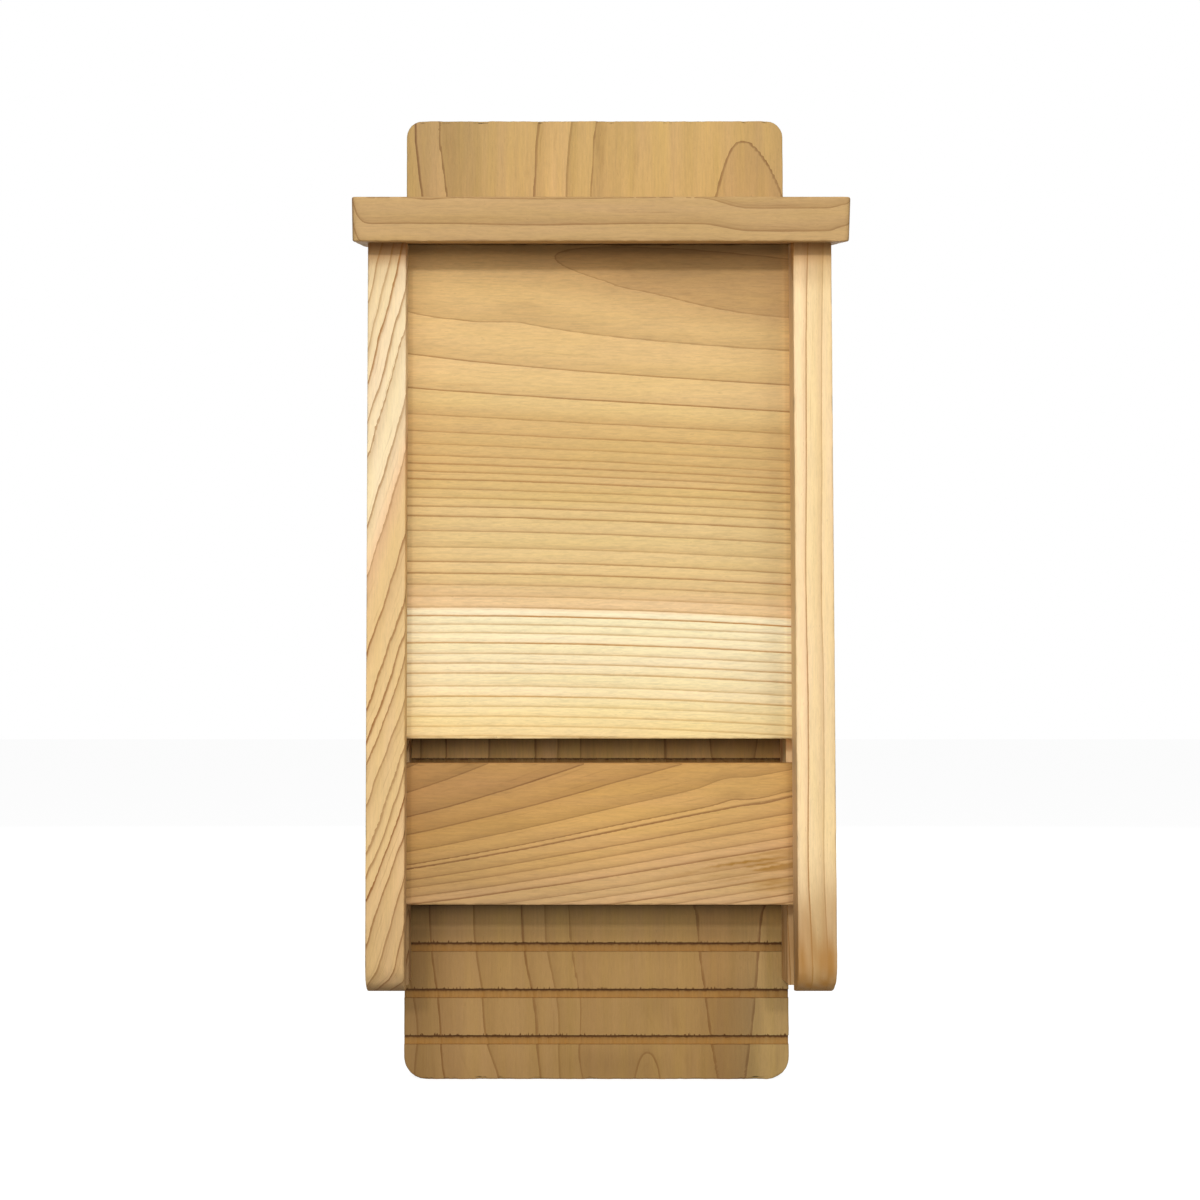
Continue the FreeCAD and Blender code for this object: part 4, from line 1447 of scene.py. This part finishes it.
@dataclass
class RoofBoard(Board):
    """The roof: one board that slopes down to the front, with its end cut plumb against the back board."""

    half_width: float = 121.0
    front: tuple[float, float] = (-90.9, 437.02)
    reach: float = 71.9
    thick: float = 21.0
    slope: float = 13.5
    corners: tuple[float, float] = (3.0, 1.0)

    ROW_STEP = 1.5
    END_SHARE = 0.06
    END_COLUMNS = 32
    COLUMNS = 165
    PITH = (-160, 467)
    FIRST_RING = 75.9
    RING_WIDTH = 8.0
    SAG = (Patch(-4.0, Slope(X, 48, 72)), Patch(3.0, Slope(X, 110, 119)))
    UPPER_SAG = (Patch(-4.2, Slope(X, 48, 72)), Patch(-1.3, Bell(X, -84, 7)))
    UPPER_SHARE = ((424, 0.0), (442, 1.5))
    SWAY = (0.5, 19)
    LEFT_RISE = 15.0
    LEFT_SHARE = ((-121, 1), (-107.5, 0))
    LEFT_POWER = 4.5

    def grid(self, inset: float) -> Grid:
        """An even grid from the front end to the rear one, finer at both sides.

        Args:
            inset: how far the outline is moved inwards.

        Returns:
            The grid's places across and along the slope.
        """
        rows = graded(0, self.reach, self.ROW_STEP, corner_rows(0, self.reach, *self.corners))
        end = np.linspace(0, self.END_SHARE, self.END_COLUMNS)
        middle = np.linspace(self.END_SHARE, 1 - self.END_SHARE, self.COLUMNS)
        shares = np.unique(np.concatenate([end, middle, 1 - end]))
        low, high = (-self.half_width, 0), (self.half_width, self.reach)
        return rounded(low, high, self.corners, shares, rows, inset)

    def skins(self, u: Array, v: Array) -> Grid:
        """The upper skin has dips for the screw heads."""
        return self.dip(u, v), np.full(u.shape, self.thick)

    def place(self, u: Array, v: Array, w: Array) -> Array:
        """Runs along the slope and down its normal, with the rear end kept plumb.

        Args:
            u: places across the roof.
            v: places along the slope, measured level.
            w: depths below the top.

        Returns:
            The points in the object's frame.
        """
        lean = math.radians(self.slope)
        along = v / math.cos(lean) * (self.reach - w * math.sin(lean)) / self.reach
        y = self.front[0] + along * math.cos(lean) + w * math.sin(lean)
        z = self.front[1] + along * math.sin(lean) - w * math.cos(lean)
        return np.stack([u, y, z], axis=1)

    def rings(self, points: Array) -> Array:
        """Circles round a pith above and in front of the board.

        The pith sags at the right, rises again close to both ends and waves a little. The count is
        the distance past the first ring over the width of a ring.

        Args:
            points: places, one row for each.

        Returns:
            The ring count at each place.
        """
        x, y, z = points.T
        (depth, height), (amount, length) = self.PITH, self.SWAY
        sag = total(self.SAG, points) + through(z, self.UPPER_SHARE) * total(self.UPPER_SAG, points)
        sag += amount * np.sin(x / length) + self.LEFT_RISE * through(x, self.LEFT_SHARE) ** self.LEFT_POWER
        return (np.hypot(y - depth, z - sag - height) - self.FIRST_RING) / self.RING_WIDTH


# The stops below ring 0, in the eye right under the roof, are dark brown: the eye's darker wood and also
# painted shade from the roof.
EARLY_UPPER: Stops = (
    (-4, (150, 116, 66)), (-0.4, (190, 150, 96)), (0.5, (224, 186, 124)), (3.2, (228, 193, 130)),
    (4, (218, 180, 116)), (8, (216, 178, 114)), (11, (222, 186, 122)), (15, (230, 198, 136)),
    (18.6, (230, 196, 136)), (19.4, (233, 196, 142)), (20.8, (244, 207, 155)), (21.4, (255, 239, 196)),
    (29, (253, 231, 180)), (32, (252, 225, 162)), (34, (248, 217, 153)))
LATE_UPPER: Stops = (
    (-4, (112, 80, 42)), (0, (160, 118, 66)), (6, (182, 138, 80)), (14, (172, 130, 74)),
    (19, (180, 136, 80)), (22, (190, 138, 74)), (28, (194, 144, 78)), (30.5, (210, 168, 102)),
    (34, (224, 186, 120)))
EARLY_LOWER: Stops = (
    (0, (192, 143, 84)), (3, (206, 157, 90)), (5, (216, 170, 100)), (8, (219, 172, 108)),
    (11, (222, 179, 123)))
LATE_LOWER: Stops = ((0, (132, 90, 44)), (5, (138, 94, 46)), (11, (150, 104, 56)))
EARLY_BACK: Stops = (
    (-2, (196, 158, 98)), (-0.2, (200, 162, 100)), (0.4, (204, 167, 105)), (6, (202, 165, 104)),
    (12, (196, 160, 104)))
LATE_BACK: Stops = ((-2, (140, 100, 52)), (0, (128, 88, 42)), (12, (134, 94, 46)))
EARLY_ROOF: Stops = ((-6, (202, 163, 108)), (4, (202, 165, 111)))
LATE_ROOF: Stops = ((-6, (146, 104, 56)), (4, (146, 104, 58)))
EARLY_LEFT: Stops = (
    (0, (225, 185, 129)), (4, (233, 196, 138)), (9, (233, 197, 137)), (10.4, (236, 198, 140)),
    (10.9, (246, 203, 155)), (11.5, (249, 218, 171)), (12.2, (251, 227, 181)), (17, (242, 214, 167)))
LATE_LEFT: Stops = ((0, (144, 92, 38)), (9, (152, 99, 42)), (17, (170, 120, 62)))
EARLY_RIGHT: Stops = ((-10, (240, 208, 156)), (0, (251, 220, 168)), (4, (251, 218, 166)))
LATE_RIGHT: Stops = ((-10, (182, 134, 80)), (4, (182, 134, 80)))

BACK_HEADS = ((-71.0, 443.5), (0.0, 443.5), (71.0, 443.5))
SIDE_HEADS = ((-9.5, 85.0), (-9.5, 243.0), (-9.5, 401.0), (-48.5, 205.0), (-48.5, 299.2), (-48.5, 393.3),
              (-48.5, 109.0), (-48.5, 147.0))
ROOF_HEADS = ((-105.0, 30.5), (105.0, 30.5), (-105.0, 63.0), (105.0, 63.0))


@dataclass(frozen=True)
class Viewpoint:
    """The camera that saw the box, with its place in metres and its pitch in degrees."""

    place: tuple[float, float, float] = (-0.0389, -0.9119, 0.1797)
    pitch: float = 2.62
    lens: float = 51.6
    sensor: float = 36.0
    shift: tuple[float, float] = (0.0659, 0.0421)
    nearest: float = 0.01

    def stand(self) -> None:
        """Makes the camera and gives it to the scene."""
        data = bpy.data.cameras.new("camera")
        data.lens = self.lens
        data.sensor_width = self.sensor
        data.sensor_fit = "HORIZONTAL"
        data.shift_x, data.shift_y = self.shift
        data.clip_start = self.nearest
        camera = bpy.data.objects.new("camera", data)
        camera.location = self.place
        camera.rotation_euler = (math.pi / 2 + math.radians(self.pitch), 0, 0)
        bpy.context.scene.collection.objects.link(camera)
        bpy.context.scene.camera = camera


@dataclass(frozen=True)
class Lamp:
    """A soft rectangular lamp that faces the middle of the box; its lengths are in metres."""

    name: str
    azimuth: float
    elevation: float
    distance: float
    size: tuple[float, float]
    power: float

    AIM_HEIGHT = 0.25

    def hang(self) -> None:
        """Adds the lamp to the scene."""
        data = bpy.data.lights.new(self.name, "AREA")
        data.shape = "RECTANGLE"
        data.size, data.size_y = self.size
        data.energy = self.power
        lamp = bpy.data.objects.new(self.name, data)
        swing, tilt = math.radians(self.azimuth), math.radians(self.elevation)
        away = self.distance * math.cos(tilt)
        height = self.AIM_HEIGHT + self.distance * math.sin(tilt)
        lamp.location = (away * math.sin(swing), -away * math.cos(swing), height)
        lamp.rotation_euler = (math.pi / 2 - tilt, 0, swing)
        bpy.context.scene.collection.objects.link(lamp)


@dataclass(frozen=True)
class Studio:
    """The pale floor, the white background and the lamps."""

    sky: float = 0.30
    floor_shade: float = 0.3
    floor_glow: float = 0.88
    floor_half: float = 30.0
    lamps: tuple[Lamp, ...] = (
        Lamp("key_left", -11.7, 17, 2.6, (0.16, 0.16), 9.6),
        Lamp("key_right", 11.7, 17, 2.6, (0.16, 0.16), 9.6),
        Lamp("soft_front", 0, 18, 2.0, (2.0, 1.5), 22.0),
        Lamp("soft_rear", 180, 25, 2.0, (2.0, 1.5), 20.0),
    )

    WHITE = (1.0, 1.0, 1.0, 1.0)
    RAYS = ("Is Camera Ray", "Is Glossy Ray", "Is Transmission Ray")

    def seen(self, paint: Paint) -> Socket:
        """One where the camera, gloss or glass looks, and nought for light."""
        camera, gloss, glass = map(paint.node("ShaderNodeLightPath").get, self.RAYS)
        return camera.math("MAXIMUM", gloss).math("MAXIMUM", glass)

    def world(self) -> None:
        """White where it is seen, and a plain grey light elsewhere."""
        world = bpy.data.worlds.new("studio")
        paint = Paint(world)
        strength = self.seen(paint) * (1 - self.sky) + self.sky
        light = paint.node("ShaderNodeBackground", None, {"Color": self.WHITE, "Strength": strength})
        paint.node("ShaderNodeOutputWorld", None, {"Surface": light["Background"]})
        bpy.context.scene.world = world

    def floor(self) -> None:
        """Lays the pale floor at the foot of the box."""
        mesh = bpy.data.meshes.new("floor")
        half, shade = self.floor_half, self.floor_shade
        corners = [(-half, -half, 0), (half, -half, 0), (half, half, 0), (-half, half, 0)]
        mesh.from_pydata(corners, [], [(0, 1, 2, 3)])
        floor = bpy.data.objects.new("floor", mesh)
        bpy.context.scene.collection.objects.link(floor)
        paint = Paint(bpy.data.materials.new("floor"))
        matt = paint.node("ShaderNodeBsdfDiffuse", None, {"Color": (shade, shade, shade, 1.0)})["BSDF"]
        sockets = {"Color": self.WHITE, "Strength": self.seen(paint) * self.floor_glow}
        glow = paint.node("ShaderNodeEmission", None, sockets)["Emission"]
        both = paint.node("ShaderNodeAddShader", None, {0: matt, 1: glow})["Shader"]
        paint.node("ShaderNodeOutputMaterial", None, {"Surface": both})
        mesh.materials.append(paint.owner)

    def light(self) -> None:
        """Sets up the floor, the world and the lamps."""
        bpy.context.scene.view_settings.view_transform = "Standard"
        self.world()
        self.floor()
        for lamp in self.lamps:
            lamp.hang()


def boards() -> list[Board]:
    """Gives the six boards, in the order in which they are made.

    Returns:
        The boards, each with its timber.
    """
    back = GroovedTimber(
        "back_wood", Grain.UPRIGHT, EARLY_BACK, LATE_BACK, line_width=1.35, line_share=0.75, soft_share=0.2,
        warp=1.4, blotch=0.42, cloud_reach=(120.0, 8.0), fade=1.2, band=0.09, tint=0.75, stain=(178, 122, 50),
        seed=11.0)
    left = Timber(
        "left_side_wood", Grain.UPRIGHT, EARLY_LEFT, LATE_LEFT, line_width=1.15, veil=0.34, warp=4.5,
        warp_reach=(34.0, 13.0), stain=(176, 122, 62), seed=23.0)
    right = Timber(
        "right_side_wood", Grain.UPRIGHT, EARLY_RIGHT, LATE_RIGHT, stain=(176, 126, 62), seed=37.0)
    upper = Timber(
        "upper_panel_wood", Grain.LEVEL, EARLY_UPPER, LATE_UPPER, line_width=1.0, soft_share=0.28, fleck=0.42,
        blotch=0.1, tint=0.35, seed=41.0)
    lower = Timber(
        "lower_panel_wood", Grain.LEVEL, EARLY_LOWER, LATE_LOWER, line_width=1.0, line_share=0.8,
        soft_share=0.34, veil=0.28, streak=0.38, fleck=0.34, blotch=0.34, stain=(164, 118, 46), seed=53.0)
    roof = Timber(
        "roof_wood", Grain.LEVEL, EARLY_ROOF, LATE_ROOF, line_width=1.0, veil=0.32, fleck=0.34, seed=67.0)
    return [
        BackBoard("back_board_wood", "back_board", "back_wood", back, seed=10, heads=BACK_HEADS),
        LeftSide("left_side_wood", "left_side", "left_side_wood", left, seed=20, heads=SIDE_HEADS),
        RightSide("right_side_wood", "right_side", "right_side_wood", right, seed=30, heads=SIDE_HEADS),
        UpperPanel("upper_panel_wood", "upper_front_panel", "upper_panel_wood", upper, seed=40),
        LowerPanel("lower_panel_wood", "lower_front_panel", "lower_panel_wood", lower, seed=50),
        RoofBoard("roof_wood", "roof", "roof_wood", roof, seed=60, heads=ROOF_HEADS),
    ]


def dress_screws() -> None:
    """Gives every row of screws the plated steel."""
    steel = PlatedSteel().make()
    for name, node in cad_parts.items():
        if name.endswith("screws"):
            for slot in node.material_slots:
                slot.material = steel
            LOG.info("%s: plated steel", name)


def main() -> None:
    """Builds the boards, dresses the screws and sets up the studio."""
    logging.basicConfig(level=logging.INFO)
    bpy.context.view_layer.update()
    Viewpoint().stand()
    Studio().light()
    for board in boards():
        board.build()
    dress_screws()


if __name__ == "__main__":
    main()
